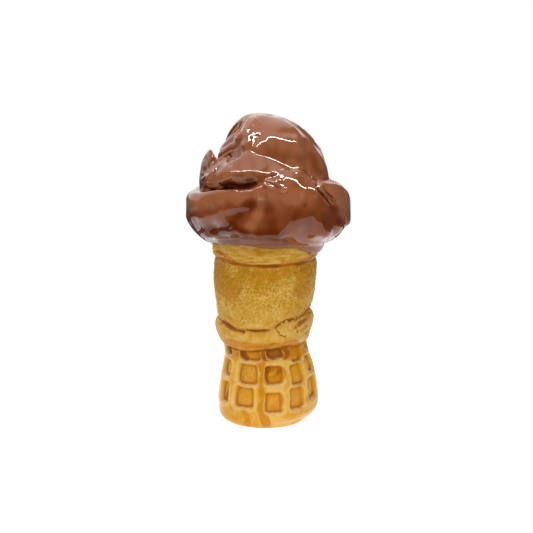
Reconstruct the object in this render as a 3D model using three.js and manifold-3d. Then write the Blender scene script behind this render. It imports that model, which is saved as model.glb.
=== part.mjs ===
// A glazed stoneware ice cream cone, modelled by hand at about life size: one folded scoop of chocolate
// ice cream seated on a flat-footed wafer cup. It stands on the sole of the cup.
//
// Millimetres, +Z up. The origin is on the ground under the middle of the object, +X is its right side
// and -Y its front. A bearing is an angle round the axis in degrees: 0 is the right side, 90 the back,
// 180 the left side and 270 the front. A list of readings round the axis starts at bearing 0 and is spread
// evenly: 12 are 30 degrees apart, 24 are 15 apart, and a single one holds all the way round.

import * as THREE from "three";
import { mergeVertices } from "three/addons/utils/BufferGeometryUtils.js";
import Module from "manifold-3d";

const wasm = await Module();
wasm.setup();

// ---- driving dimensions ----------------------------------------------------------------------------

const RIM_TOP = 93; // height at which the cup ends, inside the scoop
const RIM_RADIUS = 25.9;
const SEAT_GAP = 0.3; // between the scoop and the cup that it sits on
const SOLE_RADIUS = 19.5; // the flat that the cone stands on
const CUP_SHIFT = -1.9; // the upper cup sits this far to the left of its foot
const RIM_RETURN = 0.6; // and its rim leans this far back to the right
const SOLE_SHIFT = -1.2; // the sole sits this far to the left
const SEAT_DEPTH = 20; // how far up into the scoop the cut for the cup is made
const CUP_SIDES = 64;

const HANDWORK = 0.6; // how far the clay's unevenness moves the scoop's surface
const SCOOP_HEART = new THREE.Vector3(0, 0, 112); // the tool's dents go in towards this point

// ---- the scoop's three lapped layers ---------------------------------------------------------------

// Heights going up a layer: its foot, the neck above it where it starts to swell, the turn where its
// outside stands upright, the shoulder where it starts to close in, and the lip at its top. Radii: root at
// the foot, waist at the neck, reach from turn to shoulder, and brow at the lip. Below and above are how
// square the curves under the turn and over the shoulder are: 1 is a straight slope and 2 is round. Sides is
// the number of points round a ring, steps the number of rings over the shoulder, dip is how far the top
// sinks inside the lip, and lean is how far the axis moves from the foot to the lip.
const BELLY = {
  centre: [0, 0],
  lean: [0, 0],
  foot: [87.4, 88, 88, 88.5, 88, 87, 86.8, 89.2, 91.2, 89.8, 89.8, 84.8],
  neck: [89.5, 90, 91, 92, 91, 88.5, 88, 92, 95.4, 96, 92, 89.5],
  turn: [102, 102, 102, 102, 101, 100, 100, 105, 101, 100.5, 107, 102],
  shoulder: [107, 107, 108, 108, 108, 108, 109, 111, 114, 116, 114, 109],
  lip: [
    117, 116, 115, 114.5, 114, 115, 115.5, 116, 116, 115.5, 115, 114,
    113.8, 114.4, 115.4, 117.4, 118.6, 118.2, 123.4, 126.4, 126.4, 122, 115, 116,
  ],
  root: [26.9],
  waist: [27.6, 28, 28.5, 28.5, 28.5, 28, 27.8, 28.8, 29, 28.8, 28.2, 28],
  reach: [39.3, 38, 36.4, 36.5, 37.5, 38.5, 39.5, 38.5, 37, 36.3, 36.8, 38],
  brow: [31, 31, 32, 33, 33, 34, 35.5, 35.5, 35, 31.5, 28.5, 28],
  below: 1.5,
  above: 2,
  sides: 80,
  steps: 5,
  dip: 4,
};
const FOLD = {
  centre: [0, 0],
  lean: [0, 0],
  foot: [107],
  neck: [115, 115, 114, 113, 113, 114, 114.5, 118.8, 118, 116, 115, 115],
  turn: [118, 118, 117, 118, 119, 119, 117, 121.5, 125, 124, 119, 118],
  shoulder: [119, 119, 119, 121, 122, 121, 118, 123, 126.3, 125.5, 122, 119.5],
  lip: [126, 126, 127, 129, 129, 128, 128.5, 131.5, 134.8, 131.8, 128, 126],
  root: [24, 24, 24, 24, 24, 24, 26, 27, 27, 24, 22, 22],
  waist: [26, 26, 26, 27, 28, 28, 28, 28, 28, 27, 24, 24],
  reach: [29, 29, 30, 31, 32, 32, 31.6, 34, 34.4, 32, 28.5, 28],
  brow: [25.5, 25.5, 25, 25, 25, 25.5, 25, 25.5, 25, 25.5, 25.5, 25.5],
  below: 2,
  above: 1.45,
  sides: 66,
  steps: 4,
  dip: 3,
};
const DOME = {
  centre: [2, 0],
  lean: [-3.5, 1],
  foot: [112],
  neck: [114],
  turn: [119],
  shoulder: [121],
  lip: [149.4, 149.6, 150.2, 150.6, 150.9, 151, 151, 150.9, 150.8, 150.4, 149.9, 149.5],
  root: [22],
  waist: [24],
  reach: [28.6, 27, 26.5, 26, 25.8, 25.5, 25.4, 25.6, 27, 26.5, 28, 29],
  brow: [2],
  below: 2,
  above: 2,
  sides: 60,
  steps: 8,
  dip: 0,
};

// ---- the scoop's pressed lumps and tool strokes ----------------------------------------------------

// Each lump is a ball stretched to its radii, turned to its bearing and pressed square: 1 leaves it round
// and less makes it blockier. They are the block on the right shoulder, the torn flap behind it, the curled
// flake that stands up at the left, and the end of the fold at the back.
const LUMPS = [
  { centre: [22.5, -11, 109], radii: [13.5, 14.5, 12.5], bearing: -25, square: 0.72, tip: 12 },
  { centre: [36, 5, 104.5], radii: [3.8, 10, 10], bearing: 8, square: 0.85, tip: 0 },
  { centre: [-29.2, -6, 121], radii: [2.4, 7.5, 13.6], bearing: 25, square: 1.05, tip: 7 },
  { centre: [-12, 28.4, 112], radii: [14, 7, 9], bearing: -20, square: 0.85, tip: 8 },
];

// Each stroke runs through points of bearing and height. A dent has a positive depth, a ridge a negative.
const STROKES = [
  { path: [[302, 145], [306, 134], [309, 126], [312, 118], [318, 114], [325, 109]], width: 4, depth: 1.8 },
  { path: [[176, 144], [196, 144], [222, 136]], width: 10, depth: 3 },
  { path: [[236, 147], [241, 140]], width: 5, depth: -0.8 },
  { path: [[232, 101.5], [255, 102], [280, 100.5]], width: 6, depth: -0.8 },
  { path: [[192, 97], [222, 100]], width: 9, depth: 1 },
  { path: [[284, 100], [312, 101]], width: 9, depth: 1 },
  { path: [[60, 140], [48, 130], [40, 120]], width: 5, depth: 1.6 },
  { path: [[130, 137], [150, 132]], width: 8, depth: 1.4 },
];

// ---- the wafer cup ---------------------------------------------------------------------------------

// [radius, height] from the middle of the sole, up the foot, collar, barrel and rim band, to the axis.
const CUP_OUTLINE = [
  [0, 0], [SOLE_RADIUS, 0], [21.8, 0.8], [23.6, 3], [24.6, 6.2], [24.9, 10], [24.2, 16], [23.3, 22],
  [22, 28], [20.7, 33], [20.2, 38.6], [21.6, 39], [22.5, 41.4], [23.7, 44.4], [24.3, 47.2], [23.9, 49.4],
  [22.6, 51], [22.9, 52.4], [23.3, 56], [23.8, 61], [24.7, 67], [25.1, 73], [24.9, 78], [24.5, 81.2],
  [25.3, 82], [RIM_RADIUS - 0.1, 86], [RIM_RADIUS, RIM_TOP], [0, RIM_TOP],
];

// The collar is a hand-rolled strip that climbs at the right, where its torn end laps over itself.
const COLLAR_FOOT_LIFT = [1.8, 0.6, -0.6, -1, -0.4, 0, 0, 0, -0.4, 1.2, 2.6, 2.2];
const COLLAR_TOP_LIFT = [4.6, 2.4, 0.6, 0, 0, 0, 0.6, 0.4, -0.2, -0.2, 3, 5];
const WORN_EDGE = { bearing: 310, spread: 45, radius: 22, lift: 2 }; // the sole's outer edge turns up here
const TORN_END = { from: 284, to: 326, low: 44, high: 53.5, proud: 0.8 };

// The lattice pressed into the foot. Each column has its left and right bearing, how far each of its three
// pockets sits above the row's height, and how far each is turned on round the foot.
const ROWS = [[10.6, 20.6], [23, 32], [34.2, 39.4]];
const COLUMNS = [
  { from: 8, to: 29, lifts: [1.4, 0.4, 0], turns: [0, 2, 4] },
  { from: 46, to: 66, lifts: [0, 0.8, 1], turns: [0, 0, 2] },
  { from: 84, to: 104, lifts: [-0.4, 0, 0.4], turns: [0, -1, 1] },
  { from: 121, to: 142, lifts: [0.6, 0.6, -0.4], turns: [0, 1, -1] },
  { from: 158, to: 178, lifts: [0, 0.8, 0.6], turns: [0, 0, 1] },
  { from: 197, to: 215, lifts: [0.6, 1.4, 1.2], turns: [0, 0, 0] },
  { from: 228, to: 253, lifts: [0.6, 0, -0.4], turns: [0, 1, 6] },
  { from: 267, to: 287, lifts: [-0.8, 0.4, 0.9], turns: [0, 0, 5] },
  { from: 298, to: 316, lifts: [0, -0.8, -1], turns: [0, 4, 14] },
  { from: 329, to: 352, lifts: [3.2, 2.2, 1], turns: [0, 2, 10] },
];
const FOOT_TOP = 37; // the collar starts above this
const POCKET_DEPTH = 2.2;
const POCKET_CORNER = 1.5;
const POCKET_SLOPE = 0.7; // how much narrower each side is at the floor

// ---- readings round the axis -----------------------------------------------------------------------

const RAD = Math.PI / 180;

// The value at a bearing of a smooth closed curve through the readings.
function reading(readings, bearing) {
  const n = readings.length;
  const place = (THREE.MathUtils.euclideanModulo(bearing, 360) / 360) * n;
  const i = Math.floor(place);
  const t = place - i;
  const [a, b, c, d] = [n - 1, n, n + 1, n + 2].map((k) => readings[(i + k) % n]);
  return b + 0.5 * t * (c - a + t * (2 * a - 5 * b + 4 * c - d + t * (3 * (b - c) + d - a)));
}

// The turn in degrees from bearing b to bearing a, from -180 to 180.
const turnFrom = (b, a) => THREE.MathUtils.euclideanModulo(a - b + 180, 360) - 180;

const between = (low, high, x) => THREE.MathUtils.smoothstep(x, low, high);

const atBearing = (bearing, radius, z) =>
  new THREE.Vector3(radius * Math.cos(bearing * RAD), radius * Math.sin(bearing * RAD), z);

// ---- geometry and solids ---------------------------------------------------------------------------

function moved(geometry, move) {
  const position = geometry.attributes.position;
  const p = new THREE.Vector3();
  for (let i = 0; i < position.count; i += 1) {
    p.fromBufferAttribute(position, i);
    move(p);
    position.setXYZ(i, p.x, p.y, p.z);
  }
  return geometry;
}

function solidOf(geometry) {
  geometry.deleteAttribute("normal");
  geometry.deleteAttribute("uv");
  const merged = mergeVertices(geometry, 1e-4);
  return new wasm.Manifold(
    new wasm.Mesh({
      numProp: 3,
      vertProperties: merged.attributes.position.array,
      triVerts: new Uint32Array(merged.index.array),
    }),
  );
}

function geometryOf(solid) {
  const mesh = solid.getMesh();
  const geometry = new THREE.BufferGeometry();
  geometry.setAttribute("position", new THREE.BufferAttribute(new Float32Array(mesh.vertProperties), 3));
  geometry.setIndex(new THREE.BufferAttribute(new Uint32Array(mesh.triVerts), 1));
  return geometry;
}

// ---- the scoop -------------------------------------------------------------------------------------

const BELOW_STEPS = 4;
const WALL_STEPS = 2;

// The rings of a layer from its foot to the ring inside its lip. Each gives a radius and a height at a
// bearing, as shares between two of the layer's radii and two of its heights.
function ringsOf({ below, above, steps, dip }) {
  const rings = [{ radii: ["root", "root", 0], heights: ["foot", "foot", 0] }];
  for (let i = 0; i <= BELOW_STEPS; i += 1) {
    const angle = (i / BELOW_STEPS) * (Math.PI / 2);
    const out = Math.sin(angle) ** (2 / below);
    const up = 1 - Math.cos(angle) ** (2 / below);
    rings.push({ radii: ["waist", "reach", out], heights: ["neck", "turn", up] });
  }
  for (let i = 1; i < WALL_STEPS; i += 1) {
    rings.push({ radii: ["reach", "reach", 0], heights: ["turn", "shoulder", i / WALL_STEPS] });
  }
  for (let i = 0; i <= steps; i += 1) {
    const angle = (i / steps) * (Math.PI / 2);
    const out = 1 - Math.cos(angle) ** (2 / above);
    const up = Math.sin(angle) ** (2 / above);
    rings.push({ radii: ["reach", "brow", out], heights: ["shoulder", "lip", up] });
  }
  if (dip > 0) rings.push({ radii: ["brow", "brow", 0], heights: ["lip", "lip", 0], inside: true });
  return rings;
}

// A layer starts as an upright rod of radius 1, one unit high for each step between its rings.
function layer(shape) {
  const rings = ringsOf(shape);
  const top = rings.length - 1;
  const rod = new THREE.CylinderGeometry(1, 1, top, shape.sides, top).rotateX(Math.PI / 2);
  const share = (names, bearing) => {
    const [low, high] = names.slice(0, 2).map((name) => reading(shape[name], bearing));
    return THREE.MathUtils.lerp(low, high, names[2]);
  };
  return moved(rod, (p) => {
    const ring = rings[Math.round(p.z + top / 2)];
    const bearing = Math.atan2(p.y, p.x) / RAD;
    const onAxis = Math.hypot(p.x, p.y) < 0.5;
    const radius = onAxis ? 0 : share(ring.radii, bearing) * (ring.inside ? 0.6 : 1);
    const height = onAxis ? meanOf(ring.heights, shape) : share(ring.heights, bearing);
    const rise = THREE.MathUtils.clamp((height - shape.foot[0]) / (shape.lip[0] - shape.foot[0]), 0, 1);
    p.copy(atBearing(bearing, radius, height - (ring.inside ? shape.dip : 0)));
    p.x += shape.centre[0] + shape.lean[0] * rise;
    p.y += shape.centre[1] + shape.lean[1] * rise;
  });
}

function meanOf([low, high, share], shape) {
  const mean = (readings) => readings.reduce((sum, value) => sum + value, 0) / readings.length;
  return THREE.MathUtils.lerp(mean(shape[low]), mean(shape[high]), share);
}

function lump({ centre, radii, bearing, square, tip }) {
  const ball = new THREE.SphereGeometry(1, 20, 12).rotateX(Math.PI / 2);
  const pressed = (v) => Math.sign(v) * Math.abs(v) ** square;
  return moved(ball, (p) => p.set(pressed(p.x) * radii[0], pressed(p.y) * radii[1], pressed(p.z) * radii[2]))
    .rotateY(tip * RAD)
    .rotateZ(bearing * RAD)
    .translate(...centre);
}

const UNROLLED = 32; // radius at which a bearing is laid out as a length along the surface
const CROWN = [6, 16]; // the strokes die out over these radii, towards the top of the scoop

// How deep the strokes press in at a bearing and height.
function pressedAt(bearing, z) {
  let total = 0;
  for (const { path, width, depth } of STROKES) {
    const laid = path.map(([b, h]) => [turnFrom(bearing, b) * RAD * UNROLLED, h - z]);
    let nearest = Infinity;
    for (let i = 1; i < laid.length; i += 1) {
      const [[x, y], [u, v]] = [laid[i - 1], laid[i]];
      const along = -(x * (u - x) + y * (v - y)) / ((u - x) ** 2 + (v - y) ** 2);
      const t = THREE.MathUtils.clamp(along, 0, 1);
      nearest = Math.min(nearest, Math.hypot(x + t * (u - x), y + t * (v - y)));
    }
    total += depth * Math.max(1 - (nearest / width) ** 2, 0) ** 2;
  }
  return total;
}

// The slow unevenness of clay worked by hand, from about -1 to 1.
function unevenness({ x, y, z }) {
  const broad = Math.sin(0.17 * x + 0.11 * z + 1.1) * Math.sin(0.19 * y - 0.08 * z + 0.6);
  const close = Math.sin(0.33 * x - 0.21 * y + 0.27 * z) * Math.sin(0.29 * y + 0.31 * z + 2.2);
  return 0.65 * broad + 0.35 * close;
}

function handled(geometry) {
  return moved(geometry, (p) => {
    const stroke = pressedAt(Math.atan2(p.y, p.x) / RAD, p.z) * between(...CROWN, Math.hypot(p.x, p.y));
    const depth = stroke - HANDWORK * unevenness(p);
    p.addScaledVector(SCOOP_HEART.clone().sub(p).normalize(), depth);
  });
}

function buildScoop() {
  const parts = [...[BELLY, FOLD, DOME].map(layer), ...LUMPS.map(lump)];
  const clay = parts.map((part) => solidOf(handled(part))).reduce((whole, part) => whole.add(part));
  const seatRadius = RIM_RADIUS + SEAT_GAP;
  const seat = new THREE.CylinderGeometry(seatRadius, seatRadius, SEAT_DEPTH, CUP_SIDES)
    .rotateX(Math.PI / 2)
    .translate(0, 0, RIM_TOP + SEAT_GAP - SEAT_DEPTH / 2);
  return clay.subtract(solidOf(moved(seat, settleCup)));
}

// ---- the cup ---------------------------------------------------------------------------------------

// Moves a point of the plain turned cup to where the hand-built one has it. Each move comes in or dies out
// over a stretch of heights.
const STRETCH = {
  sole: [0, 8],
  edge: [0, 10],
  lean: [26, 44],
  liftIn: [36, 41],
  collar: [39, 51],
  liftOut: [51, 62],
  rim: [60, 84],
};
function settleCup(p) {
  const bearing = Math.atan2(p.y, p.x) / RAD;
  const z = p.z;
  const [foot, top] = [COLLAR_FOOT_LIFT, COLLAR_TOP_LIFT].map((lifts) => reading(lifts, bearing));
  const share = THREE.MathUtils.clamp(THREE.MathUtils.inverseLerp(...STRETCH.collar, z), 0, 1);
  const lift = THREE.MathUtils.lerp(foot, top, share);
  p.z += lift * between(...STRETCH.liftIn, z) * (1 - between(...STRETCH.liftOut, z));
  const worn = Math.max(1 - (turnFrom(WORN_EDGE.bearing, bearing) / WORN_EDGE.spread) ** 2, 0);
  const outwards = between(SOLE_RADIUS, WORN_EDGE.radius, Math.hypot(p.x, p.y));
  p.z += WORN_EDGE.lift * worn * outwards * (1 - between(...STRETCH.edge, z));
  p.x += SOLE_SHIFT * (1 - between(...STRETCH.sole, z));
  p.x += CUP_SHIFT * between(...STRETCH.lean, z) + RIM_RETURN * between(...STRETCH.rim, z);
}

// How far the collar's torn end stands proud at a bearing and height.
function tornEnd(bearing, z) {
  const { from, to, low, high, proud } = TORN_END;
  const across = between(from - 2, from + 2, bearing) * (1 - between(to - 8, to + 8, bearing));
  return proud * across * between(low - 2, low + 1, z) * (1 - between(high - 1, high + 1, z));
}

function cupRadius(z) {
  const i = CUP_OUTLINE.findIndex(([, height], k) => k > 1 && height >= z);
  const [[r0, z0], [r1, z1]] = [CUP_OUTLINE[i - 1], CUP_OUTLINE[i]];
  return THREE.MathUtils.lerp(r0, r1, (z - z0) / (z1 - z0));
}

// The cutter of one pocket: a plug with cut corners that narrows towards its floor.
function pocket({ from, to, lifts, turns }, row) {
  const [low, high] = ROWS[row].map((height) => height + lifts[row]);
  const middle = (low + high) / 2;
  const outside = cupRadius(Math.min(middle, FOOT_TOP));
  const [w, h] = [(outside * (to - from) * RAD) / 2, (high - low) / 2];
  const [a, b] = [w - POCKET_CORNER, h - POCKET_CORNER];
  const shape = new THREE.Shape();
  [[-a, -h], [a, -h], [w, -b], [w, b], [a, h], [-a, h], [-w, b], [-w, -b]].forEach(([x, y], i) => {
    if (i === 0) shape.moveTo(x, y);
    else shape.lineTo(x, y);
  });
  const plug = new THREE.ExtrudeGeometry(shape, { depth: 2 * POCKET_DEPTH, bevelEnabled: false });
  moved(plug, (p) => {
    const inwards = 1 - p.z / POCKET_DEPTH;
    const [across, up] = [w, h].map((half) => 1 - (POCKET_SLOPE * inwards) / half);
    p.set(p.z - POCKET_DEPTH, p.x * across, p.y * up);
  });
  const slope = Math.atan2(cupRadius(Math.min(high, FOOT_TOP)) - cupRadius(low), high - low);
  return plug
    .rotateY(slope)
    .translate(outside, 0, middle)
    .rotateZ(((from + to) / 2 + turns[row]) * RAD);
}

function buildCup() {
  const points = CUP_OUTLINE.map(([r, z]) => new THREE.Vector2(r, z));
  const blank = moved(new THREE.LatheGeometry(points, CUP_SIDES).rotateX(Math.PI / 2), (p) => {
    const bearing = THREE.MathUtils.euclideanModulo(Math.atan2(p.y, p.x) / RAD, 360);
    const proud = tornEnd(bearing, p.z);
    p.x += proud * Math.cos(bearing * RAD);
    p.y += proud * Math.sin(bearing * RAD);
  });
  const plugs = COLUMNS.flatMap((column) => ROWS.map((_, row) => pocket(column, row)));
  const pressed = plugs.reduce((body, plug) => body.subtract(solidOf(plug)), solidOf(blank));
  return moved(geometryOf(pressed), settleCup);
}

// ---- the assembled object --------------------------------------------------------------------------

const chocolateGlaze = new THREE.MeshStandardMaterial({ color: 0x7a4026, roughness: 0.12, metalness: 0 });
const honeyGlaze = new THREE.MeshStandardMaterial({ color: 0xc08a35, roughness: 0.3, metalness: 0 });

const scoop = new THREE.Mesh(geometryOf(buildScoop()), chocolateGlaze);
scoop.name = "ice_cream";
const cup = new THREE.Mesh(buildCup(), honeyGlaze);
cup.name = "wafer_cup";

const cone = new THREE.Group();
cone.add(scoop, cup);

export default cone;
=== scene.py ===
"""Dresses a hand-built stoneware ice cream cone: its folds, its lattice, its glazes and a small studio.

Tables of sizes are in millimetres, in the part's own frame: +Z up, -Y towards the front. A bearing is an
angle round the upright axis in degrees: 0 is the right side, 90 the back, 180 the left side, 270 the front.
"""

import math

import bpy
import numpy as np
from mathutils import Matrix, Vector, noise


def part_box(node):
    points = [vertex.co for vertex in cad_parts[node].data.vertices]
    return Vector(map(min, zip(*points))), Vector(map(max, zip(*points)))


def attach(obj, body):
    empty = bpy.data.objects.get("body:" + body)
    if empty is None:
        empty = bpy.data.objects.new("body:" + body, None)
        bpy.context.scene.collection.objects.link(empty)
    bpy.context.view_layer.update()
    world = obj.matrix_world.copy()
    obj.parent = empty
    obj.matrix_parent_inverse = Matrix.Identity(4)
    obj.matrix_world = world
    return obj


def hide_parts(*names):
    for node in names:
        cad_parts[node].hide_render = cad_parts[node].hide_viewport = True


bl_info = {
    "name": "Stoneware Ice Cream Cone",
    "version": (1, 0, 0),
    "blender": (4, 5, 0),
    "location": "View3D > Sidebar > Stoneware Cone",
    "description": "Builds the glazed scoop, the glazed wafer cup and the studio around a packed cone",
    "category": "Add Mesh",
}

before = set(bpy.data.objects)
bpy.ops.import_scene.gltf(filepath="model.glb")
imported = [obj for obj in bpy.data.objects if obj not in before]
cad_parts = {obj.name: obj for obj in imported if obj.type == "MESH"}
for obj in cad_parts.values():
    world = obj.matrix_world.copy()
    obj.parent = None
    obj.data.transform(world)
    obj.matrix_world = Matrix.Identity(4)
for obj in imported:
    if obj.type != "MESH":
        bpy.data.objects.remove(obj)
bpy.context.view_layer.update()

MM = 0.001
BODY = "root"
SCOOP_NODE = "ice_cream"
CUP_NODE = "wafer_cup"
RIM_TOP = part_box(CUP_NODE)[1].z / MM

# ---- the scoop's lapped layers -------------------------------------------------------------------

# Readings start at bearing 0 and are spread evenly round the axis. Heights: foot, neck, turn, shoulder, lip.
# Radii: root at the foot, waist at the neck, reach from turn to shoulder, brow at the lip. Below the turn and
# above the shoulder a layer is rounded: a power of 2 is an ellipse, and 1 a straight slope. The top sinks by
# the dip inside the lip. The lean is how far the layer's middle moves from its foot to its lip.
BELLY = {
    "centre": (0, 0),
    "lean": (0, 0),
    "foot": [87.4, 88, 88, 88.5, 88, 87, 86.8, 89.2, 91.2, 89.8, 89.8, 84.8],
    "neck": [89.5, 90, 91, 92, 91, 88.5, 88, 92, 95.4, 96, 92, 89.5],
    "turn": [
        102, 102, 102, 102, 102, 102, 102, 101.5, 101, 100.5, 100, 100,
        101, 103, 104.5, 106, 104, 99.5, 99, 105, 107, 105, 101, 101,
    ],
    "shoulder": [107, 107, 108, 108, 108, 108, 109, 111, 114, 116, 114, 109],
    "lip": [
        117, 116, 115, 114.5, 114, 115, 115.5, 116, 116, 115.5, 115, 114,
        113.8, 114.4, 115.4, 117.4, 118.6, 119.3, 123.4, 126.4, 126.4, 122, 115, 116,
    ],
    "root": [26.9],
    "waist": [27.6, 28, 28.5, 28.5, 28.5, 28, 27.8, 28.8, 29, 28.8, 28.2, 28],
    "reach": [39.3, 38, 36.4, 36.5, 37.5, 38.5, 39.5, 38.5, 37, 36.3, 36.8, 38],
    "brow": [31, 31, 32, 33, 33, 34, 35.5, 35.5, 35, 31.5, 28.5, 28],
    "below": 1.5,
    "above": 2,
    "dip": 4,
}
FOLD = {
    "centre": (0, 0),
    "lean": (0, 0),
    "foot": [107],
    "neck": [115, 115, 114, 113, 113, 114, 114.5, 118.8, 118, 116, 115, 115],
    "turn": [118, 118, 117, 118, 119, 119, 117, 121.5, 125, 124, 119, 118],
    "shoulder": [119, 119, 119, 121, 122, 121, 118, 123, 126.3, 125.5, 122, 119.5],
    "lip": [126, 126, 127, 129, 129, 128, 128.5, 131.5, 134.8, 131.8, 128, 126],
    "root": [24, 24, 24, 24, 24, 24, 26, 27, 27, 24, 22, 22],
    "waist": [26, 26, 26, 27, 28, 28, 28, 28, 28, 27, 24, 24],
    "reach": [29, 29, 30, 31, 32, 32, 31.6, 34, 34.4, 32, 28.5, 28],
    "brow": [26, 26, 25.5, 25, 25, 25.5, 26, 25, 24.5, 24.5, 25, 26],
    "below": 2,
    "above": 1.06,
    "dip": 3,
}
DOME = {
    "centre": (2, 0),
    "lean": (-3.5, 1),
    "foot": [112],
    "neck": [114],
    "turn": [119],
    "shoulder": [121],
    "lip": [149.4, 149.6, 150.2, 150.6, 150.9, 151, 151, 150.9, 150.8, 150.4, 149.9, 149.5],
    "root": [22],
    "waist": [24],
    "reach": [28.6, 27, 26.5, 26, 25.8, 25.5, 25.4, 25.2, 25.8, 25.5, 27.6, 29],
    "brow": [2],
    "below": 2,
    "above": 2,
    "dip": 0,
}
LAYER_SIDES = 360
BELOW_STEPS, WALL_STEPS, ABOVE_STEPS = 16, 6, 30
DIP_INSET = 0.6

# Lumps of clay pressed onto the layers: middle, radii, bearing, squareness (1 is round) and tip.
LUMPS = [
    ((22.5, -11, 109), (13.5, 14.5, 12.5), -25, 0.72, 12),
    ((36.2, 2.5, 107), (3.6, 7.5, 8), 4, 0.8, -4),
    ((36, 7, 101.5), (3.8, 8.5, 7), 11, 0.9, 5),
    ((-29.2, -6, 121), (2.4, 7.5, 13.6), 25, 1.05, 7),
    ((-12, 28.4, 112), (14, 7, 9), -20, 0.85, 8),
    ((-24.4, -18, 119.4), (7, 3.6, 2.6), -54, 1, 0),
]
LUMP_STEPS = (96, 64)  # round it and up it

# Broad strokes all round: a path of bearing and height, the stroke's half width, and its depth.
BROAD_STROKES = [
    ([(309, 126), (312, 118), (318, 114), (325, 109)], 4, 1.0),
    ([(176, 144), (196, 144), (222, 136)], 10, 3),
    ([(236, 147), (241, 140)], 5, -0.8),
    ([(232, 101.5), (255, 102), (280, 100.5)], 6, -0.8),
    ([(192, 97), (222, 100)], 9, 1),
    ([(284, 100), (312, 101)], 9, 1),
    ([(60, 140), (48, 130), (40, 120)], 5, 1.6),
    ([(340, 144), (350, 134), (358, 124)], 12, 1.5),
    ([(130, 137), (150, 132)], 8, 1.4),
    ([(182, 147), (204, 147)], 7, 0.9),
]

# A broad stroke presses towards the heart. Its path is laid out on the scoop unrolled at one radius, and it
# comes in over the radii of the crown, where the bearings meet. The handwork is how uneven all the clay is.
SCOOP_HEART = np.array([0, 0, 112])
UNROLLED = 32
CROWN = (6, 16)
HANDWORK = 0.6

# The seat for the cup is cut this deep.
SEAT_DEPTH = 24
SEAT_RINGS = 30

# ---- the scoop's fine strokes --------------------------------------------------------------------

# The front is worked from one stand, EYE_DISTANCE away and looking down by EYE_PITCH. A point of a front path
# is how far right of the stand's aim, and how far above it, the point appears on a sheet held up at the aim.
EYE_PITCH = math.radians(12)
EYE_DISTANCE = 613.8
AIM = np.array([-0.85, 0, 76.07])
TO_EYE = np.array([0, -math.cos(EYE_PITCH), math.sin(EYE_PITCH)])
SHEET_UP = np.array([0, math.sin(EYE_PITCH), math.cos(EYE_PITCH)])

# How far a place faces the stand, from where work on it starts to show to where it shows whole.
WORKED_FACING = (0.1, 0.5)
THUMBED_FACING = (0.02, 0.3)
GLAZED_FACING = (0, 0.4)

# A stroke's height sways along its path, by a share of it and by a wave in radians for each millimetre.
STROKE_SWAY, STROKE_WAVE = 0.2, 0.9
THUMB_PRESSURE = 0.7

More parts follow.
